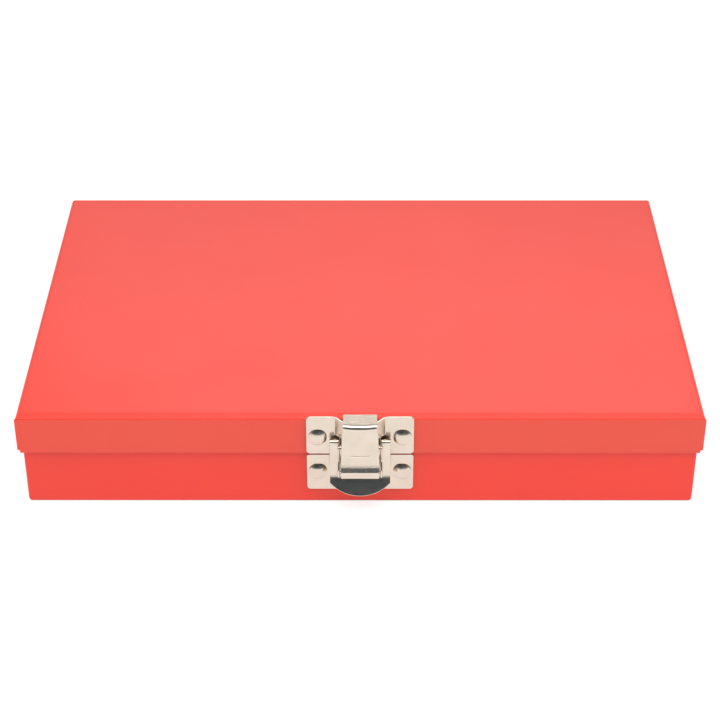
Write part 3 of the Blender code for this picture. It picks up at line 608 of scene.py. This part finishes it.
lid_low, lid_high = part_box("lid_shell")
SHEET = 0.8 * MM
lid = pressed_pan(
    "lid_pressing", lid_low, lid_high, False, 0.95 * MM, 0.95 * MM, 1.1 * MM, 1.8 * MM
)

# %% [markdown]
# The press leaves a shallow roll-off along the front of the lid, just behind the sharp bend. The
# top is cut along a few lines there, and the strip in front of them is lowered in small steps.

# %% Roll-off along the lid's front
front_y, top_z = lid_low[1], lid_high[2]
FULL_DROP = 0.22
roll_off = [(4.6, 0.0), (3.8, 0.03), (2.8, 0.12), (1.9, 0.20), (1.3, FULL_DROP)]  # distance, drop
for distance, _ in roll_off:
    cut_across(lid, (0, front_y + distance * MM, 0), (0, 1, 0))
for distance, drop in roll_off[1:]:
    pick(
        lid,
        "VERT",
        lambda v: abs(v.co.y - front_y - distance * MM) < 0.01 * MM and v.co.z > top_z - 0.01 * MM,
    )
    bpy.ops.transform.translate(value=(0, 0, -drop * MM))
    leave_edit()
pick(lid, "VERT", lambda v: v.co.y < front_y + 1.2 * MM and v.co.z > top_z - 1.5 * MM)
bpy.ops.transform.translate(value=(0, 0, -FULL_DROP * MM))
leave_edit()
thicken(lid, SHEET, offset=-1)
round_rim(lid, lid_low[2], 0.34 * MM)

# %% [markdown]
# At each corner the skirt has a small relief notch, where the press would otherwise tear the
# sheet. A little block cut out of the side wall's lower edge makes it. The two front corners are
# folded a hair wider than the sides, so they stand out a little.

# %% Corner notches and flared front corners
NOTCH_DEPTH, NOTCH_LENGTH, NOTCH_HEIGHT = 1.25 * MM, 3.2 * MM, 1.5 * MM
CORNER_FLARE = 0.4 * MM
SPARE = 1 * MM  # how far a cutting tool reaches past what it cuts
for sx in (-1, 1):
    for sy in (-1, 1):
        x, y, z = sx * lid_high[0], sy * lid_high[1], lid_low[2]
        inner = (x - sx * NOTCH_DEPTH, y - sy * NOTCH_LENGTH, z - SPARE)
        outer = (x + sx * SPARE, y + sy * SPARE, z + NOTCH_HEIGHT)
        low = [min(pair) for pair in zip(inner, outer)]
        high = [max(pair) for pair in zip(inner, outer)]
        carve(lid, cube_between("notch_tool", low, high))
for sx in (-1, 1):
    pick(lid, "VERT", lambda v: v.co.y < front_y + 0.9 * MM and v.co.x * sx > lid_high[0] - 2 * MM)
    bpy.ops.transform.translate(value=(sx * CORNER_FLARE, 0, 0))
    leave_edit()
shade(lid)
show(lid, lid_coat, "lid", "red_enamel", "lid_shell")

# %% [markdown]
# The base is drawn the same way, open at the top. Its front wall is cut down, so that a hand
# reaches the tray, and the side walls slope up from it. One flat cut-out, as wide as the case,
# takes all of that off.

# %% Base pan
FRONT_OVERLAP = 5 * MM  # how far the low front wall stands up inside the lid
FLAT_RUN, SLOPE_RUN = 3 * MM, 16 * MM
base_low, base_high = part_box("base_pan")
base = pressed_pan(
    "base_pressing", base_low, base_high, True, 1.0 * MM, 0.95 * MM, 1.1 * MM, 1.6 * MM
)
thicken(base, SHEET, offset=-1)
round_rim(base, base_high[2], 0.25 * MM)
front_rim = lid_low[2] + FRONT_OVERLAP
slope_start = base_low[1] + SHEET + FLAT_RUN
slope_end = slope_start + SLOPE_RUN
before, above = base_low[1] - 5 * SPARE, base_high[2] + 5 * SPARE
cut_line = [
    Vector((before, front_rim)),
    Vector((slope_start, front_rim)),
    Vector((slope_end, base_high[2])),
    Vector((slope_end, above)),
    Vector((before, above)),
]
carve(base, flat_cutout("low_front_tool", cut_line, 2 * base_high[0] + 20 * SPARE, 0))
shade(base)
show(base, base_coat, "base", "red_enamel", "base_pan")

# %% [markdown]
# ## Tray, dividers and ledges
#
# The tray is a third pan, shallower, with a finger notch in each end wall. Its dividers are flat
# strips, and two folded ledges on the base's end walls carry it.

# %% Tray
tray_low, tray_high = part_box("tray_pan")
TRAY = 0.7 * MM
tray = pressed_pan("tray_pressing", tray_low, tray_high, True, *(4 * [2 * MM]))
thicken(tray, TRAY, offset=-1)
round_rim(tray, tray_high[2], 0.25 * MM)
long_divider_low, long_divider_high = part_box("tray_divider_long")
long_divider_y = (long_divider_low[1] + long_divider_high[1]) / 2
notch_y = (tray_low[1] + long_divider_y) / 2
rim = tray_high[2]
half_line = [
    (20 * MM, rim - 8 * MM, 4 * MM),
    (22 * MM, rim, 1.5 * MM),
    (26 * MM, rim + 6 * MM, 0),
]
near = [(notch_y - y, z, bend) for y, z, bend in reversed(half_line)]
far = [(notch_y + y, z, bend) for y, z, bend in half_line]
notch = bent(near + far, closed=True)
carve(tray, flat_cutout("finger_notch_tool", notch, 2 * tray_high[0] + 10 * SPARE, 0))
shade(tray)
show(tray, tray_coat, "tray", "red_enamel", "tray_pan")


# %% Dividers and ledges
def divider(node, corner=1.5 * MM, foot=2.0 * MM):
    """A flat strip with rounded upper corners and cut lower corners that clear the tray's bends."""
    low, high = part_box(node)
    piece = cube_between(node + "_strip", low, high)
    along = 0 if high[0] - low[0] > high[1] - low[1] else 1
    across = 1 - along

    def thin_edge(edge, at_z):
        a, b = edge.verts
        return (
            abs(a.co.z - at_z) < 0.01 * MM
            and abs(b.co.z - at_z) < 0.01 * MM
            and abs(a.co[across] - b.co[across]) > 0.1 * MM
        )

    pick(piece, "EDGE", lambda e: thin_edge(e, high[2]))
    bpy.ops.mesh.bevel(offset=corner, segments=6, affect="EDGES")
    leave_edit()
    pick(piece, "EDGE", lambda e: thin_edge(e, low[2]))
    bpy.ops.mesh.bevel(offset=foot, segments=1, affect="EDGES")
    leave_edit()
    soften(piece, 0.15 * MM, 2, angle=60)
    shade(piece)
    show(piece, tray_coat, "tray", "red_enamel", node)


for node in ("tray_divider_long", *(f"tray_divider_cross_{n}" for n in (1, 2, 3))):
    divider(node)

for side, sign in (("L", -1), ("R", 1)):
    low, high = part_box(f"tray_ledge_{side}")
    wall_x = (high[0] if sign > 0 else -low[0]) - 0.5 * MM
    inner_x = low[0] if sign > 0 else -high[0]
    line = bent(
        [
            (wall_x, low[2], 0),
            (wall_x, high[2] - 0.5 * MM, 1.2 * MM),
            (inner_x, high[2] - 0.5 * MM, 0),
        ]
    )
    ledge = strip(f"ledge_strip_{side}", line, high[1] - low[1])
    thicken(ledge, 1.0 * MM)
    set_down(ledge, Matrix.Rotation(math.radians(-90 * sign), 4, "Z"))
    face_out(ledge)
    soften(ledge, 0.15 * MM, 2, angle=50)
    shade(ledge)
    show(ledge, base_coat, "base", "red_enamel", f"tray_ledge_{side}")

# %% [markdown]
# ## Keeper plate
#
# The keeper is one blank riveted to the lid: two flat wings, and between them a bridge pressed
# forward, with a slot under it. Its plan is a bent strip standing on edge. The part under the
# bridge is cut away, and the gap between the wings is bridged with a flat web.

# %% Keeper plate: bent strip
PLATE = 0.8 * MM  # thickness of the keeper, the latch's base plate and the lever
PLATE_CORNER = 1.6 * MM
BRIDGE_HALF, SHOULDER_X = 6.4 * MM, 10.2 * MM  # flat front, and where it meets the wings
FOOT_X = 12.0 * MM  # half width of the opening under the bridge
SHOULDER_BEND = 1.5 * MM
BRIDGE_HEIGHT = 8.4 * MM
WEB_GAP = 0.2 * MM  # between the bridge and the web under it
keeper_low, keeper_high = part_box("keeper_plate")
wing_y = keeper_high[1] - PLATE / 2
bridge_y = keeper_low[1] + PLATE / 2
half = keeper_high[0]
bridge_bottom = keeper_high[2] - BRIDGE_HEIGHT
right = [
    (BRIDGE_HALF, bridge_y, SHOULDER_BEND),
    (SHOULDER_X, wing_y, SHOULDER_BEND),
    (half, wing_y, 0),
]
plan = bent([(-x, y, r) for x, y, r in reversed(right)] + right)
keeper = strip("keeper_pressing", plan, keeper_high[2] - keeper_low[2])
stand_up = Matrix(((0, 1, 0), (0, 0, 1), (1, 0, 0))).to_4x4()
set_down(keeper, Matrix.Translation((0, 0, (keeper_high[2] + keeper_low[2]) / 2)) @ stand_up)
for x in (FOOT_X, -FOOT_X):
    cut_across(keeper, (x, 0, 0), (1, 0, 0))
for z in (bridge_bottom, bridge_bottom - WEB_GAP):
    cut_across(keeper, (0, 0, z), (0, 0, 1))
print("keeper, mm:", [round(c / MM, 1) for c in keeper.dimensions])


# %% Keeper plate: web under the bridge
def under_bridge(face):
    middle = face.calc_center_median()
    return abs(middle.x) < FOOT_X and middle.z < bridge_bottom


def web_side(edge):
    return all(
        abs(abs(v.co.x) - FOOT_X) < 0.01 * MM and v.co.z < bridge_bottom - 0.1 * MM
        for v in edge.verts
    )


remove_faces(keeper, under_bridge)
pick(keeper, "EDGE", web_side)
bpy.ops.mesh.bridge_edge_loops()
leave_edit()


# %% Keeper plate: corners and drawn bridge
def outer_corner(vert):
    at_end = abs(abs(vert.co.x) - half) < 0.01 * MM
    return at_end and min(abs(vert.co.z - z) for z in (keeper_low[2], keeper_high[2])) < 0.01 * MM


def drawn_down(vert):
    return vert.co.z > keeper_high[2] - 0.01 * MM and vert.co.y < wing_y - 0.05 * MM


pick(keeper, "VERT", outer_corner)
bpy.ops.mesh.bevel(offset=PLATE_CORNER, segments=8, affect="VERTICES")
leave_edit()
for reach, drop in ((0.05, 0.15), (0.8, 0.25), (2.0, 0.3), (3.2, 0.2)):
    pick(keeper, "VERT", lambda v: drawn_down(v) and v.co.y < wing_y - reach * MM)
    bpy.ops.transform.translate(value=(0, 0, -drop * MM))
    leave_edit()
thicken(keeper, PLATE)
face_out(keeper)
soften(keeper, 0.16 * MM, 3, angle=50)
shade(keeper)
show(keeper, nickel, "lid", "nickel", "keeper_plate")

# %% [markdown]
# ## Latch base plate
#
# A flat blank on the base, behind the lever, with two ears folded forward that hold the lever's
# pin. The blank's corners are rounded with a vertex bevel before it gets its thickness.

# %% Latch base plate
PLATE_SPLIT = 1.75 * MM  # from the base plate's upper edge to the keeper
plate_low, plate_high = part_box("latch_base_plate")
plate_y = plate_high[1] - PLATE / 2
plate_top = keeper_low[2] - PLATE_SPLIT
upright = [Vector((plate_y, plate_low[2])), Vector((plate_y, plate_top))]
plate = strip("latch_plate_pressing", upright, 2 * half)
pick(plate, "VERT", lambda v: v.co.z < plate_top - 1 * MM)
bpy.ops.mesh.bevel(offset=PLATE_CORNER, segments=8, affect="VERTICES")
leave_edit()
pick(plate, "VERT", lambda v: v.co.z > plate_top - 0.01 * MM)
bpy.ops.mesh.bevel(offset=1.0 * MM, segments=6, affect="VERTICES")
leave_edit()
thicken(plate, PLATE)
face_out(plate)

# %% Ears of the latch base plate
EAR, EAR_X = 0.6 * MM, 7.85 * MM  # thickness, and distance from the middle
lever_pin_low, lever_pin_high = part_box("lever_pin")
pin_y = (lever_pin_low[1] + lever_pin_high[1]) / 2
pin_z = (lever_pin_low[2] + lever_pin_high[2]) / 2
front = plate_y - PLATE / 2
lid_plate_front = keeper_high[1] - PLATE - 0.6 * MM
ear = bent(
    [
        (plate_y, plate_top - 13 * MM, 0),
        (front - 2.4 * MM, plate_top - 11 * MM, 1 * MM),
        (pin_y + 2 * MM, plate_top - 1.5 * MM, 1 * MM),
        (pin_y - 1.7 * MM, pin_z - 2 * MM, 1 * MM),
        (pin_y - 1.7 * MM, pin_z + 1.5 * MM, 1.4 * MM),
        (lid_plate_front, pin_z + 1.5 * MM, 1.4 * MM),
        (lid_plate_front, plate_top - 0.4 * MM, 0.4 * MM),
        (plate_y, plate_top - 0.4 * MM, 0),
    ],
    closed=True,
)
ears = [flat_cutout(f"ear_{s}", ear, EAR, s * EAR_X) for s in (-1, 1)]
join(plate, *ears)
soften(plate, 0.12 * MM, 2, angle=50)
shade(plate)
show(plate, nickel, "base", "nickel", "latch_base_plate")

# %% [markdown]
# ## Lever
#
# The lever is a plate with a window for the hasp. Two cheeks folded forward hold its pins, and
# its lower end flares out into a curved lip for the fingertips. The strip is bent first, then the
# curved end is cut by keeping only what lies inside a large disc that leans with the lip.

# %% Lever: bent strip
LEVER_TOP_GAP = 1.0 * MM  # under the bridge
FLARE_Z = 17.9 * MM  # where the lip begins to flare out
lever_low, lever_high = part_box("latch_lever")
hasp_pin_low, hasp_pin_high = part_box("hasp_pin")
hasp_pin_y = (hasp_pin_low[1] + hasp_pin_high[1]) / 2
hasp_pin_z = (hasp_pin_low[2] + hasp_pin_high[2]) / 2
lever_half = lever_high[0]
lever_y = lever_high[1] - PLATE / 2
lever_top = bridge_bottom - LEVER_TOP_GAP
lip_y, lip_z = lever_low[1] + PLATE * 0.45, lever_low[2] + 0.05 * MM
lever_line = bent(
    [
        (lever_y + 1.5 * MM, lever_top - PLATE / 2, 0),
        (lever_y, lever_top - PLATE / 2, 0.7 * MM),
        (lever_y, FLARE_Z, 8 * MM),
        (lever_y - 2.5 * MM, FLARE_Z - 4.0 * MM, 3 * MM),
        (lip_y, lip_z, 0),
    ]
)
lever = strip("lever_pressing", lever_line, 2 * lever_half)
thicken(lever, PLATE)
face_out(lever)

# %% Lever: curved lip
LIP_RISE = 4.2 * MM  # from the lip's middle up to its ends
CUT_TILT = math.radians(30)  # leans the disc, so that it cuts square to the flared sheet
CUT_STRETCH = 1.29  # the leaning cut has to be this much deeper for the same rise
cut_rise = CUT_STRETCH * LIP_RISE
lip_radius = (lever_half**2 + cut_rise**2) / (2 * cut_rise)
bpy.ops.object.select_all(action="DESELECT")
bpy.ops.mesh.primitive_cylinder_add(
    vertices=160,
    radius=lip_radius,
    depth=30 * MM,
    location=(0, lip_y, lever_low[2] + lip_radius / math.cos(CUT_TILT) + 0.1 * MM),
    rotation=(math.pi / 2 - CUT_TILT, 0, 0),
)
disc = named("lip_tool")
bpy.ops.object.transform_apply(location=True, rotation=True, scale=True)
block = cube_between(
    "upper_tool",
    (-lever_half - 1 * MM, lever_y - 15 * MM, lever_low[2] + LIP_RISE + 1 * MM),
    (lever_half + 1 * MM, lever_y + 15 * MM, lever_top + 5 * MM),
)
join(disc, block)
carve(lever, disc, "INTERSECT")
print("lip radius, mm:", round(lip_radius / MM, 1))

# %% Lever: window and cheeks
WINDOW_HALF = 8.55 * MM
CHEEK, CHEEK_X = 0.7 * MM, 8.7 * MM  # thickness, and distance from the middle
window = cube_between(
    "window_tool",
    (-WINDOW_HALF, lever_y - 3 * MM, FLARE_Z + 0.6 * MM),
    (WINDOW_HALF, lever_y + 3 * MM, lever_top + 3 * MM),
)
carve(lever, window)
cheek_back = lever_y + PLATE / 2 - 0.1 * MM
cheek = bent(
    [
        (cheek_back, lever_top - 1.3 * MM, 0),
        (pin_y - 1.9 * MM, lever_top - 0.6 * MM, 1.2 * MM),
        (pin_y - 1.9 * MM, pin_z - 2.5 * MM, 1.5 * MM),
        (hasp_pin_y + 0.3 * MM, (pin_z + hasp_pin_z) / 2, 1.5 * MM),
        (hasp_pin_y - 1.8 * MM, hasp_pin_z + 2.4 * MM, 1.5 * MM),
        (hasp_pin_y - 1.8 * MM, hasp_pin_z - 1.9 * MM, 1.5 * MM),
        (cheek_back, FLARE_Z + 1.1 * MM, 0),
    ],
    closed=True,
)
cheeks = [flat_cutout(f"cheek_{s}", cheek, CHEEK, s * CHEEK_X) for s in (-1, 1)]
join(lever, *cheeks)
soften(lever, 0.2 * MM, 3, angle=50)
shade(lever)
show(lever, nickel, "lever", "nickel", "latch_lever")

# %% [markdown]
# ## Hasp
#
# The hasp is one strap: rolled round its pin at the bottom, straight up the front, and bent back
# over the bridge at the top, with a small lip that drops behind it. It is narrower at the top and
# a little wider at the roll, so those rows of vertices are scaled across. A shallow stamped tick
# crosses the front.

# %% Hasp: bent strap
STRAP = 0.9 * MM
STRAP_WIDTH, TOP_WIDTH, ROLL_WIDTH = 14.7 * MM, 13.9 * MM, 15.6 * MM
hasp_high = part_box("latch_hasp")[1]
strap_y = hasp_pin_y - 1.15 * MM
flange_z = hasp_high[2] - STRAP / 2
hook_y = hasp_high[1] - STRAP / 2
roll_y, roll_z = 2.4 * MM, 1.55 * MM
roll_front = hasp_pin_y - roll_y
hasp_line = bent(
    [
        (hook_y, flange_z - STRAP / 2 - 0.5 * MM, 0),
        (hook_y, flange_z, 0.5 * MM),
        (strap_y, flange_z - 0.55 * MM, 1.6 * MM),
        (strap_y, 42.5 * MM, 0),
        (strap_y, 40.5 * MM, 0),
        (strap_y, 26.4 * MM, 1.5 * MM),
        (strap_y - 0.22 * MM, 25.5 * MM, 6.0 * MM),
        (strap_y - 0.50 * MM, 24.6 * MM, 6.0 * MM),
        (roll_front, 22.75 * MM, 0.5 * MM),
        (roll_front, hasp_pin_z + 0.3 * MM, 0),
    ]
)
for point in arc((0, 0), 1, 180, 415):
    hasp_line.append(Vector((hasp_pin_y + roll_y * point.x, hasp_pin_z + roll_z * point.y)))
hasp = strip("hasp_strap", hasp_line, STRAP_WIDTH)
print("strap, mm:", [round(c / MM, 1) for c in hasp.dimensions])

# %% Hasp: widths and crown
BEND_Z, ROLL_START_Z = 41.5 * MM, 27.0 * MM  # the top bend lies above, the roll lies below
pick(hasp, "VERT", lambda v: v.co.z < ROLL_START_Z)
bpy.ops.transform.resize(value=(ROLL_WIDTH / STRAP_WIDTH, 1, 1), center_override=(0, 0, 0))
leave_edit()
pick(hasp, "VERT", lambda v: v.co.z > BEND_Z)
bpy.ops.transform.resize(value=(TOP_WIDTH / STRAP_WIDTH, 1, 1), center_override=(0, 0, 0))
leave_edit()
for step in range(-4, 5):
    cut_across(hasp, (step * 1.4 * MM, 0, 0), (1, 0, 0))


def on_crown(vert, reach):
    return abs(vert.co.x) < reach * MM and vert.co.y < -97 * MM and vert.co.z > BEND_Z


for reach, crown in ((6.0, 0.28), (4.5, 0.24), (3.0, 0.16), (1.5, 0.06)):
    pick(hasp, "VERT", lambda v: on_crown(v, reach))
    bpy.ops.transform.translate(value=(0, -crown * MM, 0))
    leave_edit()
thicken(hasp, STRAP)
face_out(hasp)

# %% Stamped tick
TICK_RADIUS, TICK_DEPTH = 0.34 * MM, 0.21 * MM
tick_y = strap_y - STRAP / 2 - (TICK_RADIUS - TICK_DEPTH)
tick = bpy.data.curves.new("tick_tool", "CURVE")
tick.dimensions, tick.bevel_depth, tick.bevel_resolution = "3D", TICK_RADIUS, 3
tick.use_fill_caps = True
spline = tick.splines.new("POLY")
tick_points = [(-3.6, 30.4), (-1.5, 30.2), (1.0, 30.2), (3.0, 30.4), (3.9, 30.75)]
spline.points.add(len(tick_points) - 1)
for spot, (x, z) in zip(spline.points, tick_points):
    spot.co = (x * MM, tick_y, z * MM, 1)
tick_tool = bpy.data.objects.new("tick_tool", tick)
bpy.context.scene.collection.objects.link(tick_tool)
take(tick_tool)
bpy.ops.object.convert(target="MESH")
tick_tool = named("tick_cutter")
face_out(tick_tool)
soften(hasp, 0.15 * MM, 2, angle=50)
carve(hasp, tick_tool)
shade(hasp)
show(hasp, nickel, "hasp", "nickel", "latch_hasp")

# %% [markdown]
# ## Rivets and pins
#
# A rivet is a turned shape, so its profile is drawn once and spun about its axis: a low dome, a
# straight shank and a flattened tail. Each copy has a mesh of its own.


# %% Turned pieces
def turned(name, profile, direction, at, steps=48):
    """Spin a profile of (radius, height) points, from the top of its axis down, into a solid."""
    bpy.ops.object.select_all(action="DESELECT")
    bpy.ops.mesh.primitive_plane_add(size=1)
    piece = named(name)
    pick(piece, "VERT", lambda v: not (v.co.x > 0 and v.co.y > 0))
    bpy.ops.mesh.delete(type="VERT")
    bpy.ops.mesh.select_all(action="SELECT")
    start = profile[0]
    bpy.ops.transform.translate(value=(start[0] - 0.5, -0.5, start[1]))
    for a, b in zip(profile, profile[1:]):
        step = (b[0] - a[0], 0, b[1] - a[1])
        bpy.ops.mesh.extrude_region_move(TRANSFORM_OT_translate={"value": step})
    bpy.ops.mesh.select_all(action="SELECT")
    bpy.ops.mesh.spin(steps=steps, angle=2 * math.pi, center=(0, 0, 0), axis=(0, 0, 1))
    bpy.ops.mesh.select_all(action="SELECT")
    bpy.ops.mesh.remove_doubles(threshold=0.00001)
    bpy.ops.mesh.normals_make_consistent(inside=False)
    leave_edit()
    turn = Vector(direction).to_track_quat("Z", "Y").to_matrix().to_4x4()
    set_down(piece, Matrix.Translation(at) @ turn)
    shade(piece, 35)
    return piece


def rivet(node, body, outward, dome, edge=0.25 * MM):
    """A rivet in its node's place: a low dome on a short straight rim, a shank and a tail."""
    low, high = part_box(node)
    head = (high[0] - low[0]) / 2
    length = high[1] - low[1]
    crown = dome - edge
    sphere = (head * head + crown * crown) / (2 * crown)
    reach = math.asin(min(1, head / sphere))
    cap = [
        (sphere * math.sin(reach * k / 10), dome - sphere + sphere * math.cos(reach * k / 10))
        for k in range(11)
    ]
    shank, tail = 0.44 * head, 0.66 * head
    tail_end = dome - length
    tail_start = tail_end + 0.3 * MM
    profile = cap + [
        (head - 0.05 * MM, 0),
        (shank, -0.02 * MM),
        (shank, tail_start),
        (tail, tail_start),
        (head * 0.62, tail_end),
        (0, tail_end),
    ]
    top = high[1] if outward > 0 else low[1]
    middle = ((low[0] + high[0]) / 2, top - outward * dome, (low[2] + high[2]) / 2)
    piece = turned(node + "_turned", profile, (0, outward, 0), middle)
    show(piece, nickel, body, "nickel", node)


for side in "LR":
    rivet(f"keeper_rivet_{side}", "lid", -1, 1.4 * MM)
    rivet(f"latch_rivet_{side}", "base", -1, 1.4 * MM)
    for number in (1, 2):
        rivet(f"base_leaf_rivet_{side}{number}", "base", 1, 1.1 * MM)
        rivet(f"lid_leaf_rivet_{side}{number}", "lid", 1, 1.1 * MM)


# %% Pins
def pin(node, body, chamfer=0.2 * MM):
    """A straight pin along X with small chamfers at its ends."""
    low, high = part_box(node)
    radius = (high[2] - low[2]) / 2
    length = high[0] - low[0]
    profile = [
        (0, length),
        (radius - chamfer, length),
        (radius, length - chamfer),
        (radius, chamfer),
        (radius - chamfer, 0),
        (0, 0),
    ]
    at = (low[0], (low[1] + high[1]) / 2, (low[2] + high[2]) / 2)
    piece = turned(node + "_turned", profile, (1, 0, 0), at, 32)
    show(piece, nickel, body, "nickel", node)


pin("lever_pin", "base")
pin("hasp_pin", "lever")
for side in "LR":
    pin(f"hinge_pin_{side}", "base")

# %% [markdown]
# ## Hinges
#
# A butt hinge is two leaves whose edges are rolled around one pin, with knuckles that take turns
# along it. Each leaf is a bent strip whose line ends in the roll. Cuts across the strip mark off
# the knuckles, and the rolled faces between them are removed.

# %% Hinges
LEAF = 0.7 * MM
LEAF_CORNER = 2 * MM
knuckle = 13.4 * MM  # the lid leaf's, in the middle
for side in "LR":
    base_leaf_low, base_leaf_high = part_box(f"hinge_base_leaf_{side}")
    lid_leaf_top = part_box(f"hinge_lid_leaf_{side}")[1][2]
    pin_low, pin_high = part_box(f"hinge_pin_{side}")
    axis_y = (pin_low[1] + pin_high[1]) / 2
    axis_z = (pin_low[2] + pin_high[2]) / 2
    roll = 1.5 * MM
    middle = (base_leaf_low[0] + base_leaf_high[0]) / 2
    width = base_leaf_high[0] - base_leaf_low[0]
    leaf_y = base_leaf_low[1] + LEAF / 2
    roll_y = axis_y - roll
    joggle_top = axis_z - roll - LEAF

    line = bent(
        [
            (leaf_y, base_leaf_low[2], 0),
            (leaf_y, joggle_top - 1.5 * (roll_y - leaf_y), 1 * MM),
            (roll_y, joggle_top, 1 * MM),
            (roll_y, axis_z - 0.2 * MM, 0),
        ]
    ) + arc((axis_y, axis_z), roll, 180, -100)
    leaf = strip(f"hinge_leaf_base_{side}", line, width, middle)
    room = knuckle / 2 + 0.4 * MM
    for x in (middle - room, middle + room):
        cut_across(leaf, (x, 0, 0), (1, 0, 0))
    cut_z = axis_z - roll - LEAF - 0.3 * MM

    def between_knuckles(face):
        at = face.calc_center_median()
        return abs(at.x - middle) < room and at.z > cut_z

    cut_across(leaf, (0, 0, cut_z), (0, 0, 1))
    remove_faces(leaf, between_knuckles)
    pick(leaf, "VERT", lambda v: v.co.z < base_leaf_low[2] + 0.01 * MM)
    bpy.ops.mesh.bevel(offset=LEAF_CORNER, segments=6, affect="VERTICES")
    leave_edit()
    thicken(leaf, LEAF)
    face_out(leaf)
    soften(leaf, 0.12 * MM, 2, angle=50)
    shade(leaf)
    show(leaf, nickel, "base", "nickel", f"hinge_base_leaf_{side}")

    line = [Vector((roll_y, lid_leaf_top)), Vector((roll_y, axis_z + 2.6 * MM))]
    line += arc((axis_y, axis_z), roll, 180, 460)
    leaf = strip(f"hinge_leaf_lid_{side}", line, width, middle)
    for x in (middle - knuckle / 2, middle + knuckle / 2):
        cut_across(leaf, (x, 0, 0), (1, 0, 0))

    def beside_knuckle(face):
        at = face.calc_center_median()
        return abs(at.x - middle) > knuckle / 2 and at.z < axis_z + 2.5 * MM

    remove_faces(leaf, beside_knuckle)
    pick(
        leaf,
        "VERT",
        lambda v: v.co.z > lid_leaf_top - 0.01 * MM
        and abs(v.co.x - middle) > width / 2 - 0.01 * MM,
    )
    bpy.ops.mesh.bevel(offset=LEAF_CORNER, segments=6, affect="VERTICES")
    leave_edit()
    thicken(leaf, LEAF)
    face_out(leaf)
    soften(leaf, 0.12 * MM, 2, angle=50)
    shade(leaf)
    show(leaf, nickel, "lid", "nickel", f"hinge_lid_leaf_{side}")
